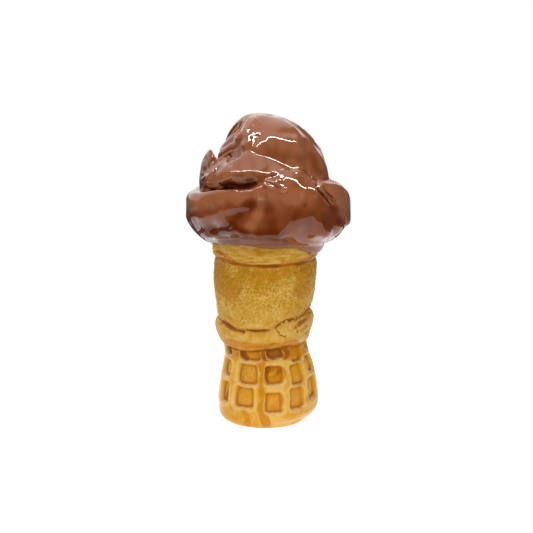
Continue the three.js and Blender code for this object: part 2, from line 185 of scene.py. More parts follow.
# Soft swells (positive) and hollows (negative) of the front: path, half width, height.
FRONT_SWELLS = [
    # the dome
    ([(-20.7, 59.7), (-17.3, 64.1), (-13.9, 68.0)], 4.5, -1.3),
    ([(-24.6, 53.4), (-18.8, 57.8), (-13.9, 62.2), (-11.5, 67.1)], 3, 1.1),
    ([(-11.0, 55.0), (-5.6, 56.0), (1.7, 58.5), (9.0, 58.5), (14.4, 59.0)], 7, 0.5),
    ([(-8.0, 55.2), (-4.1, 56.6), (-1.2, 58.8)], 4, 0.6),
    ([(-4.6, 58.2), (-1.6, 60.0)], 2.6, 0.25),
    ([(-10.6, 59.6), (-8.8, 59.8)], 3, 0.4),
    ([(-2.2, 61.7), (2.7, 62.4), (7.6, 61.7), (13.4, 61.2)], 4, 0.45),
    ([(14.6, 68.0), (15.6, 61.0), (16.4, 54.0)], 5, 0.35),
    ([(17.8, 67.6), (19.3, 61.7), (20.7, 55.8), (21.7, 49.5), (23.2, 43.7), (24.1, 40.2)], 2.6, -0.35),
    # the crest, and the arc and the roof of the open fold
    ([(-1.7, 40.7), (1.7, 44.1), (5.6, 46.1), (11.5, 47.1), (17.3, 47.1)], 2.2, 0.5),
    ([(6.1, 45.6), (8.5, 43.7), (12.9, 42.7), (15.4, 40.2), (17.8, 38.8), (20.7, 35.9)], 6, 0.9),
    ([(12.0, 39.6), (14.6, 38.0)], 5, 0.4),
    ([(-12.9, 44.9), (-10.0, 46.0), (-8.0, 46.4), (-5.1, 45.4), (-2.2, 43.8)], 2.4, 0.5),
    ([(-18.0, 41.0), (-12.0, 41.0), (-7.5, 41.6)], 4.5, -0.6),
    # the pressed block
    ([(24.1, 41.0), (24.6, 36.0), (25.6, 32.0)], 6, 1.1),
    ([(23.2, 40.2), (26.1, 36.3), (29.0, 32.9), (31.9, 29.0)], 2.2, 0.8),
    ([(25.1, 42.2), (29.0, 43.2), (32.4, 42.7), (34.9, 41.2)], 2.5, 0.6),
    # the left of the belly
    ([(-36.3, 23.2), (-32.4, 22.9), (-26.6, 24.2), (-22.5, 26.0)], 7, 1.3),
    ([(-20.5, 28.2), (-14.9, 29.8), (-9.5, 30.3)], 4, 0.8),
    ([(-26.0, 24.6), (-21.0, 26.6)], 7, 0.4),
    ([(-24.0, 22.0), (-18.5, 22.6)], 6, -0.7),
    ([(-33.5, 16.5), (-30.0, 15.5)], 6, 1.0),
    ([(-30.0, 16.8), (-27.6, 15.9), (-21.7, 16.4), (-16.8, 17.0)], 2.8, 2.0),
    # the right of the belly
    ([(12.5, 31.5), (18.0, 29.0), (25.0, 26.8)], 12, 2.0),
    ([(19.0, 33.5), (23.0, 32.0)], 9, 1.2),
    ([(16.3, 27.6), (23.2, 26.6)], 6, 0.7),
    ([(25.5, 23.5), (30.0, 23.5)], 8, 0.8),
    ([(25.5, 19.5), (29.0, 19.0)], 8, 1.2),
    ([(23.6, 19.2), (28.0, 18.8), (34.1, 20.2), (37.3, 21.2)], 7, 2.0),
    ([(5.0, 22.5), (9.0, 23.0), (13.0, 23.8), (17.0, 24.2)], 6, 1.2),
    ([(7.0, 17.0), (11.0, 21.2), (16.3, 24.6), (22.7, 26.1)], 6, 1.2),
    ([(13.5, 19.4), (19.0, 19.8), (24.0, 20.0)], 7, 1.7),
    ([(13.0, 15.8), (20.0, 16.0), (26.0, 17.0)], 6, 1.3),
    # the foot of the belly
    ([(-14.0, 16.3), (-11.9, 16.3), (-5.1, 15.8), (1.7, 15.8), (5.0, 16.0)], 6, 1.2),
    ([(-16.0, 16.4), (-8.0, 16.2), (1.0, 16.0), (6.5, 16.2)], 2.4, 0.9),
]

# Places of the front that a thumb has smoothed over: path, half width, rounds of smoothing.
FRONT_THUMBED = [
    ([(-14.9, 56.8), (-11.5, 55.4), (-2.2, 53.4), (4.6, 51.0), (12.0, 49.0)], 3.5, 24),
    ([(-2.2, 39.8), (-0.2, 42.2), (2.2, 44.1)], 3, 30),
    ([(-13.4, 44.6), (-10.0, 46.1), (-8.0, 46.6), (-5.1, 45.6), (-2.2, 43.9)], 3.4, 24),
    ([(-12.5, 36.6), (-7.1, 37.4), (-2.2, 39.0)], 3.4, 36),
    ([(21.0, 62.5), (22.3, 57.0), (23.4, 51.0)], 4, 30),
    ([(6.1, 45.6), (10.0, 43.6), (15.4, 40.7), (20.7, 36.3)], 4, 14),
    ([(-30.0, 16.2), (-16.0, 15.6), (-4.0, 15.4), (7.0, 15.8)], 3, 14),
    ([(11.0, 20.5), (17.0, 21.0), (22.5, 20.5)], 4.6, 40),
    ([(12.0, 15.5), (19.0, 16.0), (26.0, 17.5)], 4.6, 40),
    ([(-27.0, 29.0), (-23.5, 30.0), (-20.5, 30.5)], 3.4, 24),
    ([(5.0, 46.6), (10.0, 46.8), (15.0, 45.2)], 3, 20),
]

# Fine strokes of the front: ridges (positive) and creases (negative), as above.
FRONT_STROKES = [
    # the dome
    ([(-9.0, 71.9), (-8.0, 68.0), (-8.5, 65.6)], 1.5, -0.5),
    ([(-11.9, 71.5), (-13.4, 67.1), (-14.4, 62.7)], 1.8, 0.6),
    ([(-5.1, 71.9), (-3.7, 69.9)], 1.6, 0.3),
    ([(-4.1, 63.3), (-4.0, 63.1)], 1.7, -0.5),
    # the ledge's left end and the flake
    ([(-18.3, 53.9), (-18.3, 51.9), (-17.8, 50.0)], 1.6, -0.8),
    ([(-19.8, 54.2), (-18.6, 53.6)], 1.0, 0.5),
    ([(-14.9, 57.8), (-18.8, 56.3), (-22.7, 53.4)], 1.1, -0.4),
    ([(-17.3, 56.3), (-23.7, 51.9), (-26.6, 48.0), (-29.0, 42.2), (-31.0, 37.3)], 1.1, 0.5),
    ([(-30.5, 53.9), (-30.0, 50.0), (-30.5, 46.6)], 1.5, -0.7),
    ([(-31.0, 44.1), (-31.0, 41.2)], 1.6, -0.7),
    ([(-28.0, 55.4), (-27.1, 52.4), (-26.6, 49.5)], 0.9, 0.4),
    # the crest and the leaf under it
    ([(2.7, 46.1), (9.0, 46.6), (16.3, 46.1), (20.2, 45.1), (22.2, 43.2), (23.2, 41.2)], 1.3, 0.3),
    ([(2.7, 44.1), (7.6, 43.7)], 1.8, -0.5),
    ([(-0.2, 41.7), (2.7, 41.2), (6.6, 39.3), (9.5, 37.6)], 1.4, 0.7),
    ([(-1.2, 40.2), (1.7, 38.8), (5.6, 37.3), (8.5, 37.1)], 1.6, 0.75),
    # the open fold, its arc and its lip
    ([(-9.5, 43.2), (-7.1, 43.2)], 1.6, -0.25),
    ([(-22.0, 39.0), (-17.0, 39.2), (-12.5, 38.6), (-8.5, 39.5), (-5.5, 40.5)], 1.4, -0.9),
    ([(-28.5, 41.7), (-26.1, 41.0), (-24.1, 41.0), (-20.7, 42.2), (-17.3, 43.7)], 0.9, 0.5),
    ([(-38.3, 35.8), (-35.4, 37.3), (-32.9, 37.3)], 1.2, 0.5),
    ([(-31.0, 37.1), (-28.5, 37.3), (-24.6, 37.3), (-20.7, 38.3), (-16.8, 37.6), (-13.9, 36.8)], 0.9, 0.4),
    ([(-12.5, 36.3), (-7.5, 37.2), (-2.6, 38.6)], 1.8, 0.5),
    # the pressed block
    ([(24.1, 40.2), (26.1, 36.8), (29.0, 33.4), (31.5, 30.5), (32.4, 28.5)], 1.1, -0.6),
    ([(25.1, 40.7), (26.6, 37.8), (29.5, 34.9), (31.5, 32.4), (32.9, 30.0)], 0.9, 0.5),
    ([(27.0, 39.6), (29.0, 36.4), (32.4, 33.8)], 0.8, -0.35),
    ([(25.1, 40.7), (28.5, 40.5), (32.9, 40.0), (35.8, 39.0)], 0.9, 0.4),
    ([(36.8, 39.3), (38.2, 35.4), (39.7, 29.5), (39.0, 25.1), (38.0, 20.2)], 0.9, -0.5),
    # the belly and its hem
    ([(-3.4, 33.6), (-1.6, 33.5)], 1.4, 0.9),
    ([(-21.7, 10.5), (-8.0, 10.0), (11.5, 10.0)], 0.9, 0.25),
]

# Behind, the glaze is milky above, partly a painted sheen of the light from overhead, and runs together
# below, partly painted shade: how much, and the heights over which it turns.
MILKY_AND_SHEEN_BEHIND, DEEP_AND_SHADE_BEHIND = 0.6, 0.8
TURNS_MILKY_AND_SHEENED = (94, 110)

# Where the front's glaze is thin and milky, with a painted sheen and reflection of the light, and where it
# ran together and is deep, with painted shade as in the open fold and under the belly: path, half width,
# amount.
MILKY_AND_SHEEN_GLAZE = [
    ([(-22.0, 46.0), (-8.0, 50.0), (10.0, 47.0)], 9, 0.7),
    ([(-38.0, 30.5), (-26.0, 33.5), (-16.0, 34.5)], 7, 1.0),
    ([(-12.0, 36.0), (0.0, 35.5), (10.0, 36.5), (20.0, 34.0)], 9, 0.8),
    ([(-2.5, 29.0), (-5.0, 24.0), (-9.0, 17.5)], 4.6, 0.85),
    ([(6.0, 25.5), (9.5, 28.0), (11.5, 32.0)], 7, 0.5),
    ([(-14.0, 61.0), (-6.0, 58.0), (3.0, 61.5), (14.0, 58.0)], 8, 0.8),
    ([(-10.0, 71.0), (5.0, 69.0), (20.0, 64.0)], 10, 1.1),
    ([(13.0, 48.0), (19.0, 45.5), (23.5, 42.0)], 6, 0.9),
    ([(18.5, 60.0), (19.5, 50.0)], 4, 0.6),
    ([(-28.0, 42.0), (-20.0, 41.5)], 5, 0.8),
    ([(26.0, 39.5), (34.0, 39.0)], 5, 1.0),
    ([(34.0, 36.0), (37.0, 30.0), (36.5, 25.0)], 6, 1.0),
    ([(26.0, 57.0), (29.5, 46.0)], 5, 0.9),
    ([(36.0, 38.0), (40.0, 30.0)], 4, 1.0),
]
DEEP_AND_SHADE_GLAZE = [
    ([(-19.0, 18.0), (-15.0, 23.5), (-10.5, 27.5), (-6.5, 30.0)], 5, 0.8),
    ([(0.0, 29.5), (2.0, 25.0), (2.6, 20.0), (2.6, 16.0)], 5.4, 0.65),
    ([(10.0, 25.0), (22.0, 22.0), (30.0, 21.0)], 9, 0.7),
    ([(33.0, 28.0), (36.0, 22.0)], 4, 0.7),
    ([(-39.0, 26.0), (-37.0, 20.0), (-28.0, 16.0), (-16.0, 16.0)], 8, 1.2),
    ([(-18.0, 15.5), (8.0, 15.5)], 5, 0.9),
    # the open fold: painted shade
    ([(-19.0, 39.6), (-12.0, 39.4), (-7.0, 40.4)], 4.2, 1.2),
    ([(-18.0, 30.5), (-12.0, 31.0), (-8.5, 31.5)], 5, 0.4),
    ([(-31.0, 43.5), (-31.5, 40.0)], 3, 0.8),
]

# Rounds of smoothing that tell the fine creases, and the broad folds, from the form around them.
SCOOP_HOLLOWS = {"crease": 5, "fold": 60}
CUP_HOLLOWS = {"crease": 4, "fold": 30}

# ---- the wafer cup -------------------------------------------------------------------------------

SOLE_RADIUS = 19.5
RIM_RADIUS = 25.9

# (radius, height) up the side of the cup, from the edge of the sole to the rim inside the scoop.
CUP_OUTLINE = [
    (SOLE_RADIUS, 0), (21.8, 0.8), (23.6, 3), (24.6, 6.2), (24.9, 10), (24.2, 16), (23.3, 22),
    (22, 28), (20.7, 33), (20.2, 38.6), (21.6, 39), (22.5, 41.4), (23.7, 44.4), (24.3, 47.2), (23.9, 49.4),
    (22.6, 51), (22.9, 52.4), (23.3, 56), (23.8, 61), (24.7, 67), (25.1, 73), (24.9, 78), (24.5, 81.2),
    (25.3, 82), (RIM_RADIUS - 0.1, 86), (RIM_RADIUS, RIM_TOP),
]
OUTLINE_STEP = 0.46
OUTLINE_EASING = 3
CUP_SIDES = 400
END_RINGS = (0.4, 0.8)

# The hand-built cup isn't true. Its sole is shifted to the right by SOLE_SHIFT, and further up it is shifted
# again: by how much, and the heights over which that comes in.
SOLE_SHIFT = -1.2
SHIFTS = [(1.2, 0, 8), (-1.9, 26, 44), (0.6, 60, 84)]

# Its collar is lifted round its foot and its top, by readings as above, and the cup beside it goes along.
COLLAR_HEIGHTS = (39, 51)
COLLAR_FOOT_LIFT = [1.8, 0.6, -0.6, -1, -0.4, 0, 0, 0, -0.4, 1.6, 3, 2.6]
COLLAR_TOP_LIFT = [4.6, 2.4, 0.6, 0, 0, 0, 0.6, 0, -1.2, -1.4, 2.6, 5]
LIFT_STARTS, LIFT_ENDS = (36, 41), (51, 62)
WORN_EDGE = {"bearing": 310, "spread": 45, "radius": 22, "lift": 2, "top": 10}

# Heights over which each zone of the cup comes in, and over which it goes out. Where the cup is seated in the
# scoop, its wall is smoother by this share.
LATTICE_ENDS = (36.5, 41)
COLLAR_ZONE = ((39, 40), (50, 51.5))
BARREL_ZONE = ((51.5, 55), (80, 81.2))
RIM_STARTS = (81.5, 83)
SEATED = (86, 88)
SEATED_SMOOTHER = 0.9

# The seams: height, depth, half width, and how much each strays. The collar's top seam stops at its torn end,
# over these distances outside and inside it, and is faint from there to the right.
COLLAR_FOOT = 38.8
FOOT_SEAM = (COLLAR_FOOT, 0.75, 1.0, 0.2)
TOP_SEAM = (51, 0.6, 1.3, 1)
RIM_SEAM = (81.5, 0.75, 1.6, 0.6)
SEAM_STOPS = (-0.6, 0.4)
SEAM_FAINT, SEAM_FAINT_SHARE = (8, 14), 0.7
SEAM_STAIN = 1.3

# The lattice, column by column: each pocket's left and right bearing, and its low and high edge's heights.
POCKETS = [
    [(8, 29, 11.6, 22), (9, 31, 24, 33), (12, 33, 35, 41)],
    [(46, 66, 10.2, 20.8), (45, 66, 23.2, 32.6), (48, 68, 35, 40.5)],
    [(83, 104, 9.8, 20.4), (84, 103, 22.4, 32.2), (85, 105, 34.2, 40)],
    [(121, 142, 10.8, 21.4), (122, 143, 23.2, 32.8), (120, 141, 33.8, 40)],
    [(157, 178, 10.2, 21), (158, 178, 23.4, 33), (159, 179, 34.8, 41)],
    [(198, 217, 11, 21.4), (192, 215, 23.4, 32), (197, 217, 34.5, 41)],
    [(227, 253, 10.8, 21.4), (229, 257, 22.2, 32.4), (232, 262, 33.4, 39.4)],
    [(266, 287, 9, 19.6), (266, 289, 22.8, 32), (271, 294, 34.6, 41)],
    [(296, 317, 10, 21), (300, 322, 21.4, 31.8), (306, 330, 32, 40)],
    [(325, 348, 12.4, 23.4), (331, 354, 25, 33.6), (340, 359, 35, 41)],
]
POCKET = {
    "corner": 1.8,  # its corners' radius
    "shortest_side": 0.4,  # half the straight side that they leave on a low pocket
    "widest_at": 37,  # a height above which it grows no wider
    "edge": -0.4,  # how far inside its outline the wall starts to sink
    "steep": 0.65,  # how far inside its outline the floor is reached
    "soft": 1.3,  # how much further in that is on its soft upper side
    "soft_right": 0.6,  # how soft its right side is against the upper one
    "pillow": 0.35,  # how much of the depth the floor's middle rises by
    "wobble_up": 0.7,  # how much of its outline's wobble goes up
    "under_collar": 4,  # how far the collar draws its outline in
    "collar_edge": (COLLAR_FOOT - 0.4, COLLAR_FOOT + 0.3),
}

# Bands along a pocket's outline: how far inside it the middle of the band is, and its half width. The pool
# band is pooled glaze and painted shade, heavier along the foot and the left side; the lip band is bare clay
# and a painted glint; the rib band is thin glaze and a painted glint.
POOL_AND_SHADE_BAND, LIP_GLINT_BAND, RIB_AND_GLINT_BAND, RIB_CREST = (0.5, 1.0), (-0.15, 0.75), (-0.9, 1.6), (-1.5, 1.9)
RIB_HEIGHT = 0.2
LIP_GLINT_BELOW = (0.3, 0.9)
POOL_SHADE_LEFT = 0.8

# The torn end of the collar is lapped over it, inside this loop of the front. It comes to show over these
# heights of the front, and a wall that faces away counts as far outside it.
TORN_LOOP = [
    (5.1, -29.8), (6.3, -28.1), (9.0, -27.0), (12.5, -26.3), (15.6, -25.9), (17.6, -24.6), (19.5, -22.4),
    (21.9, -21.0), (28.0, -22.0), (28.0, -46.0), (13.0, -46.0), (9.9, -35.5), (7.1, -32.9), (5.4, -31.5),
]
TORN_SHOWS = (-36.5, -33)
TORN_FACING, FAR_OUTSIDE = 0.1, -9

# How proud the lap is, how far inside the loop it rises and sinks, and the crease and the dark line round it.
TORN_PROUD, TORN_RISES, TORN_SINKS = 1.1, (-0.3, 0.5), (1.5, 6.5)
TORN_CREASE, TORN_CREASE_DEPTH = (-0.55, 0.8), 0.35
TORN_LINE = (-0.3, 0.9)

# Random unevenness of the wall: the amount of each grain, its size and its seed. It is read off a plain rod
# of the grain's radius, which each seed moves a step further.
POCKET_WOBBLE = [(0.45, 5, 1), (0.2, 2.2, 2)]
TORN_TEETH = [(0.9, 1.6, 3), (0.35, 2.6, 4)]
SEAM_WAVE = [(0.7, 8, 5), (0.25, 2.5, 6)]
SEAM_PRESS = [(0.5, 5, 7)]
HAMMERED = [(0.32, 3.2, 8), (0.26, 1.7, 9)]
PITS = [(1, 1.1, 10), (1, 0.8, 11)]
BRUSHED = [(1, (4.57, 4.57, 1), 12), (0.5, (1.8, 1.8, 0.45), 13)]
UNTRUE = [(0.22, 11, 14)]
GRAIN_RADIUS = 24
SEED_STEP = 17.3
UNTRUE_STARTS = (2, 8)
PIT_EDGE, PIT_DEPTH = (0.2, 0.6), 0.2
SEAM_EVEN = 0.75
BRUSH_DEPTH = 0.32
COLLAR_HAMMERED = 0.4
UPPER_BARREL = (50, 68)
STAINED_BEHIND, STAIN_STARTS = 0.6, (60, 78)

# Strokes of the front of the cup, as for the scoop: ridges (positive) and creases (negative).
CUP_STROKES = [
    # the rim band
    ([(-25.0, 8.0), (-21.7, 6.0), (-18.0, 3.2), (-14.0, 1.6)], 1.3, -0.6),
    ([(-24.0, 4.6), (-20.0, 3.4), (-17.3, 1.8)], 1.1, -0.5),
    ([(-23.5, 6.4), (-20.5, 4.8), (-17.5, 2.8)], 1.0, 0.35),
    ([(-10.0, 2.0), (-6.1, 2.0)], 0.8, -0.4),
    # the collar
    ([(-20.5, -26.8), (-17.6, -29.8), (-14.9, -31.7), (-11.7, -32.0)], 2.0, -0.8),
    ([(-19.0, -25.6), (-14.6, -29.6), (-10.5, -30.6)], 1.2, 0.5),
    ([(-12.7, -27.8), (-10.7, -26.1), (-9.8, -28.5)], 0.8, 0.35),
    ([(-7.0, -30.9), (-2.2, -31.3), (1.7, -31.7)], 1.4, -0.5),
    # the torn end
    ([(21.2, -22.5), (19.0, -25.3), (16.8, -27.3), (14.6, -29.8)], 1.2, -1.1),
    ([(22.1, -23.9), (20.7, -27.3), (18.3, -30.2), (15.6, -31.6)], 1.2, -0.9),
    ([(21.5, -23.4), (19.6, -26.6), (17.2, -29.0)], 1.0, 0.6),
    ([(22.8, -26.0), (21.8, -29.4), (19.0, -32.6)], 1.1, -0.7),
    # the collar's foot
    ([(-19.0, -38.2), (-14.0, -39.6), (-8.0, -40.0), (-1.0, -39.2), (4.0, -37.6)], 1.3, -0.45),
    ([(-17.8, -36.6), (-12.0, -38.0), (-4.0, -38.4), (2.0, -37.0), (8.0, -37.0)], 1.2, 0.4),
    ([(9.0, -40.7), (10.2, -41.7)], 1.4, -0.5),
    # the barrel
    ([(-14.9, -16.6), (-14.0, -12.7), (-12.4, -10.2)], 1.0, -0.3),
    ([(-22.0, -13.0), (-18.5, -16.0), (-15.6, -18.5)], 1.1, -0.25),
]

# Where the honey glaze ran down and pooled, where it burnt, and where ash stained the barrel; the runs and
# spots under the collar's foot are painted shade as well: path, half width, amount.
AMBER_RUNS_AND_SHADE = [
    ([(-4.0, -42.0), (-3.2, -46.0), (-1.8, -52.0), (-2.8, -58.0), (-1.6, -64.0), (-2.8, -70.0), (-1.0, -76.0),
      (0.0, -81.0)], 3.0, 1.2),
    ([(-1.0, -72.5), (1.6, -80.0)], 3.2, 1.0),
    # under the collar's foot: run glaze and painted shade
    ([(-22.0, -39.5), (-12.0, -43.0), (0.0, -43.5), (12.0, -42.0), (20.0, -40.0)], 5.2, 1.35),
    ([(2.0, -50.5), (7.0, -50.5), (6.6, -55.5), (2.0, -55.5)], 3.4, 1.4),
    ([(2.0, -63.5), (7.0, -64.0), (6.4, -69.0), (2.0, -69.0)], 3.2, 0.7),
    ([(-11.0, -70.0), (-9.6, -74.0), (-9.0, -79.0)], 3.0, 1.0),
    ([(-17.0, -69.0), (-15.0, -74.0)], 3.0, 0.7),
    ([(14.0, -38.5), (18.0, -43.0), (17.0, -46.0)], 4.0, 0.8),
    # under the collar's foot: run glaze and painted shade
    ([(-19.0, -36.4), (-12.0, -37.8), (-3.0, -38.8), (8.0, -38.0), (14.0, -36.4)], 2.4, 1.2),
    ([(20.0, -64.0), (17.0, -70.0)], 3.0, 0.7),
    ([(-22.0, -27.5), (-17.6, -30.0), (-12.0, -31.8)], 2.6, 1.0),
    ([(13.0, -29.5), (18.0, -27.0), (21.8, -22.6)], 2.6, 1.1),
    ([(-24.0, 7.0), (-19.0, 3.6), (-12.0, 1.4)], 2.6, 0.9),
    ([(-12.0, 8.5), (-7.0, 7.5), (-4.0, 8.5)], 2.2, 0.6),
    ([(-25.6, 4.6), (-17.8, 2.2), (-8.0, 0.2), (6.6, 0.2), (16.3, 1.7), (24.1, 4.6)], 1.9, 1.4),
    ([(-24.1, 8.0), (-20.0, 5.4), (-17.5, 3.6)], 1.3, 1.3),
    ([(3.0, 7.2), (-4.0, 6.4)], 1.6, 0.9),
    ([(8.0, 2.6), (16.0, 3.6), (22.0, 6.0)], 1.8, 0.6),
]
BURNT_AND_SHADED_SPOTS = [
    ([(-21.5, -27.3), (-17.0, -30.6), (-11.0, -32.0)], 1.3, 1.0),
    ([(21.2, -22.5), (19.0, -25.3), (15.6, -28.8)], 1.1, 0.9),
    ([(-25.6, 4.8), (-17.8, 2.4), (-8.0, 0.4), (6.6, 0.4), (16.3, 1.9), (24.1, 4.8)], 1.1, 0.8),
    # under the collar's foot: burnt glaze and painted shade
    ([(0.5, -42.8), (7.5, -42.4)], 5.0, 1.8),
    ([(-12.5, -42.5), (-10.5, -45.0)], 2.6, 1.0),
    ([(-19.0, -40.0), (-18.0, -42.0)], 2.4, 1.0),
    ([(9.5, -40.5), (10.5, -41.5)], 2.0, 0.9),
    ([(0.0, -50.0), (0.2, -57.0)], 2.0, 0.8),
    ([(2.0, -50.5), (7.0, -50.5), (4.0, -54.0)], 3.4, 0.6),
    ([(-20.5, -60.0), (-20.0, -66.0)], 2.4, 0.8),
    ([(22.0, -58.0), (21.5, -62.0)], 2.4, 0.5),
]
ASH_STAINS = [
    ([(-24.0, -2.0), (-21.0, -7.0), (-16.0, -9.0)], 8, 1.1),
    ([(-22.0, -10.0), (-16.0, -15.0)], 6, 0.7),
    ([(19.0, -2.0), (18.5, -8.0), (17.0, -12.0)], 6.5, 1.0),
    ([(-12.0, -3.0), (0.0, -4.0), (14.0, -2.0)], 5, 0.7),
    ([(-6.0, -9.0), (2.0, -9.0)], 8, 0.5),
]

# ---- numbers round the axis and along paths ------------------------------------------------------


def reading(readings, bearing):
    """Values at the bearings of a smooth closed curve through the readings."""
    values = np.asarray(readings, float)
    place = np.mod(bearing, 360) / 360 * len(values)
    i = np.floor(place).astype(int)
    t = place - i
    a, b, c, d = (values[(i + k) % len(values)] for k in (-1, 0, 1, 2))
    return b + 0.5 * t * (c - a + t * (2 * a - 5 * b + 4 * c - d + t * (3 * (b - c) + d - a)))


def turn_from(start, bearing):
    """Degrees from one bearing to another, from -180 to 180."""
    return np.mod(bearing - start + 180, 360) - 180


def between(low, high, x):
    """Rises smoothly from 0 at low to 1 at high."""
    t = np.clip((x - low) / (high - low), 0, 1)
    return t * t * (3 - 2 * t)


def zone(height, comes_in, goes_out):
    """1 between two bands of height, and 0 outside them."""
    return between(*comes_in, height) * (1 - between(*goes_out, height))


def mixed(a, b, share):
    """From a, at a share of 0, to b, at a share of 1."""
    return a + (b - a) * share


def bearing_of(points):
    return np.degrees(np.arctan2(points[:, 1], points[:, 0]))


def rounded(path, steps=5):
    """A smooth curve through the points of a path."""
    points = np.array([path[0], *path, path[-1]], float)
    curve = []
    for a, b, c, d in zip(points, points[1:], points[2:], points[3:]):
        for t in np.arange(steps) / steps:
            curve.append(b + 0.5 * t * (c - a + t * (2 * a - 5 * b + 4 * c - d + t * (3 * (b - c) + d - a))))
    return [*curve, points[-1]]


def distance_to(path, x, y):
    """How far the points x, y are from a path, and how far along it their nearest place is."""
    nearest = np.full(x.shape, np.inf)
    along = np.zeros(x.shape)
    start = 0
    for (x0, y0), (x1, y1) in zip(path, path[1:]):
        dx, dy = x1 - x0, y1 - y0
        length = math.hypot(dx, dy)
        t = np.clip(((x - x0) * dx + (y - y0) * dy) / length**2, 0, 1)
        distance = np.hypot(x - x0 - t * dx, y - y0 - t * dy)
        closer = distance < nearest
        nearest = np.where(closer, distance, nearest)
        along = np.where(closer, start + t * length, along)
        start += length
    return nearest, along


def bump_of(distance, width):
    """A round-shouldered bump, 1 in the middle and 0 from its half width outwards."""
    return np.maximum(1 - (distance / width) ** 2, 0) ** 2


def band(inside, middle, width):
    """1 along a line that keeps its distance inside an outline, and 0 from its half width outwards."""
    return bump_of(inside - middle, width)


def inside_loop(loop, x, y):
    """How far inside a closed loop the points x, y are. It is below 0 outside."""
    path = [*loop, loop[0]]
    within = np.zeros(x.shape, bool)
    for (x0, y0), (x1, y1) in zip(path, path[1:]):
        if y0 != y1:
            crosses = (y0 > y) != (y1 > y)
            within ^= crosses & (x < x0 + (y - y0) / (y1 - y0) * (x1 - x0))
    return np.where(within, 1, -1) * distance_to(path, x, y)[0]


# ---- meshes --------------------------------------------------------------------------------------


def piece_from(name, points, faces):
    """An object of points in millimetres."""
    mesh = bpy.data.meshes.new(name)
    mesh.from_pydata((np.asarray(points) * MM).tolist(), [], faces)
    mesh.update()
    piece = bpy.data.objects.new(name, mesh)
    bpy.context.scene.collection.objects.link(piece)
    return piece


def closed_rings(rings, bottom, top):
    """Points and faces of a closed skin over a stack of rings, with a point on the axis at each end."""
    count, sides = rings.shape[:2]
    points = np.concatenate([rings.reshape(-1, 3), [bottom, top]])
    ring, side = np.meshgrid(np.arange(count - 1), np.arange(sides), indexing="ij")
    a = ring * sides + side
    b = ring * sides + (side + 1) % sides
    faces = np.stack([a, b, b + sides, a + sides], axis=-1).reshape(-1, 4).tolist()
    first, last = count * sides, count * sides + 1
    top_ring = (count - 1) * sides
    for k in range(sides):
        after = (k + 1) % sides
        faces.append([first, after, k])
        faces.append([last, top_ring + k, top_ring + after])
    return points, faces


def points_of(mesh):
    points = np.empty(len(mesh.vertices) * 3)
    mesh.vertices.foreach_get("co", points)
    return points.reshape(-1, 3) / MM


def normals_of(mesh):
    normals = np.empty(len(mesh.vertices) * 3)
    mesh.vertex_normals.foreach_get("vector", normals)
    return normals.reshape(-1, 3)


def move_points(mesh, points):
    mesh.vertices.foreach_set("co", (points * MM).ravel())
    mesh.update()


def edges_of(mesh):
    edges = np.empty(len(mesh.edges) * 2, int)
    mesh.edges.foreach_get("vertices", edges)
    return edges.reshape(-1, 2)


def relaxed(points, edges, rounds, share=0.5):
    """The points, each drawn towards the mean of its neighbours."""
    count = len(points)
    a, b = edges.T
    neighbours = np.bincount(a, minlength=count) + np.bincount(b, minlength=count)
    neighbours = np.maximum(neighbours, 1)
    for _ in range(rounds):
        total = np.stack(
            [
                np.bincount(a, points[b, k], count) + np.bincount(b, points[a, k], count)
                for k in range(3)
            ],
            axis=-1,
        )
        points = mixed(points, total / neighbours[:, None], share)
    return points


def soften(mesh, rounds):
    """Smooths a mesh all over."""
    move_points(mesh, relaxed(points_of(mesh), edges_of(mesh), rounds))


def store(mesh, name, values):
    """Keeps one number for each point, for the glaze to read."""
    layer = mesh.attributes.new(name, "FLOAT", "POINT")
    layer.data.foreach_set("value", np.asarray(values, np.float32))


def store_hollows(mesh, hollows):
    """Keeps how deep each point lies in a hollow, in millimetres. It is below 0 on an edge."""
    points, edges, normals = points_of(mesh), edges_of(mesh), normals_of(mesh)
    for name, rounds in hollows.items():
        store(mesh, name, ((relaxed(points, edges, rounds) - points) * normals).sum(axis=1))


def with_modifiers_applied(piece):
    """Gives the piece the mesh that its modifiers make, and takes them off."""
    evaluated = piece.evaluated_get(bpy.context.evaluated_depsgraph_get())
    mesh = bpy.data.meshes.new_from_object(evaluated)
    piece.modifiers.clear()
    old = piece.data
    piece.data = mesh
    bpy.data.meshes.remove(old)
    return piece


def finish_piece(piece, material, node):
    """Gives a piece its glaze, and lets it stand for its solid."""
    piece.data.materials.clear()
    piece.data.materials.append(material)
    piece.data.shade_smooth()
    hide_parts(node)
    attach(piece, BODY)


# ---- the scoop -----------------------------------------------------------------------------------


def rings_of(layer):
    """A layer's rings: two radii and a share from one to the other, two heights and a share, and an inset."""
    rings = [(("root", "root", 0), ("foot", "foot", 0), 1)]
    for angle in np.linspace(0, math.pi / 2, BELOW_STEPS):
        power = 2 / layer["below"]
        out, up = math.sin(angle) ** power, 1 - max(math.cos(angle), 0) ** power
        rings.append((("waist", "reach", out), ("neck", "turn", up), 1))
    for share in np.arange(1, WALL_STEPS) / WALL_STEPS:
        rings.append((("reach", "reach", 0), ("turn", "shoulder", share), 1))
    for angle in np.linspace(0, math.pi / 2, ABOVE_STEPS):
        power = 2 / layer["above"]
        out, up = 1 - max(math.cos(angle), 0) ** power, math.sin(angle) ** power
        rings.append((("reach", "brow", out), ("shoulder", "lip", up), 1))
    if layer["dip"]:
        rings.append((("brow", "brow", 0), ("lip", "lip", 0), DIP_INSET))
    return rings


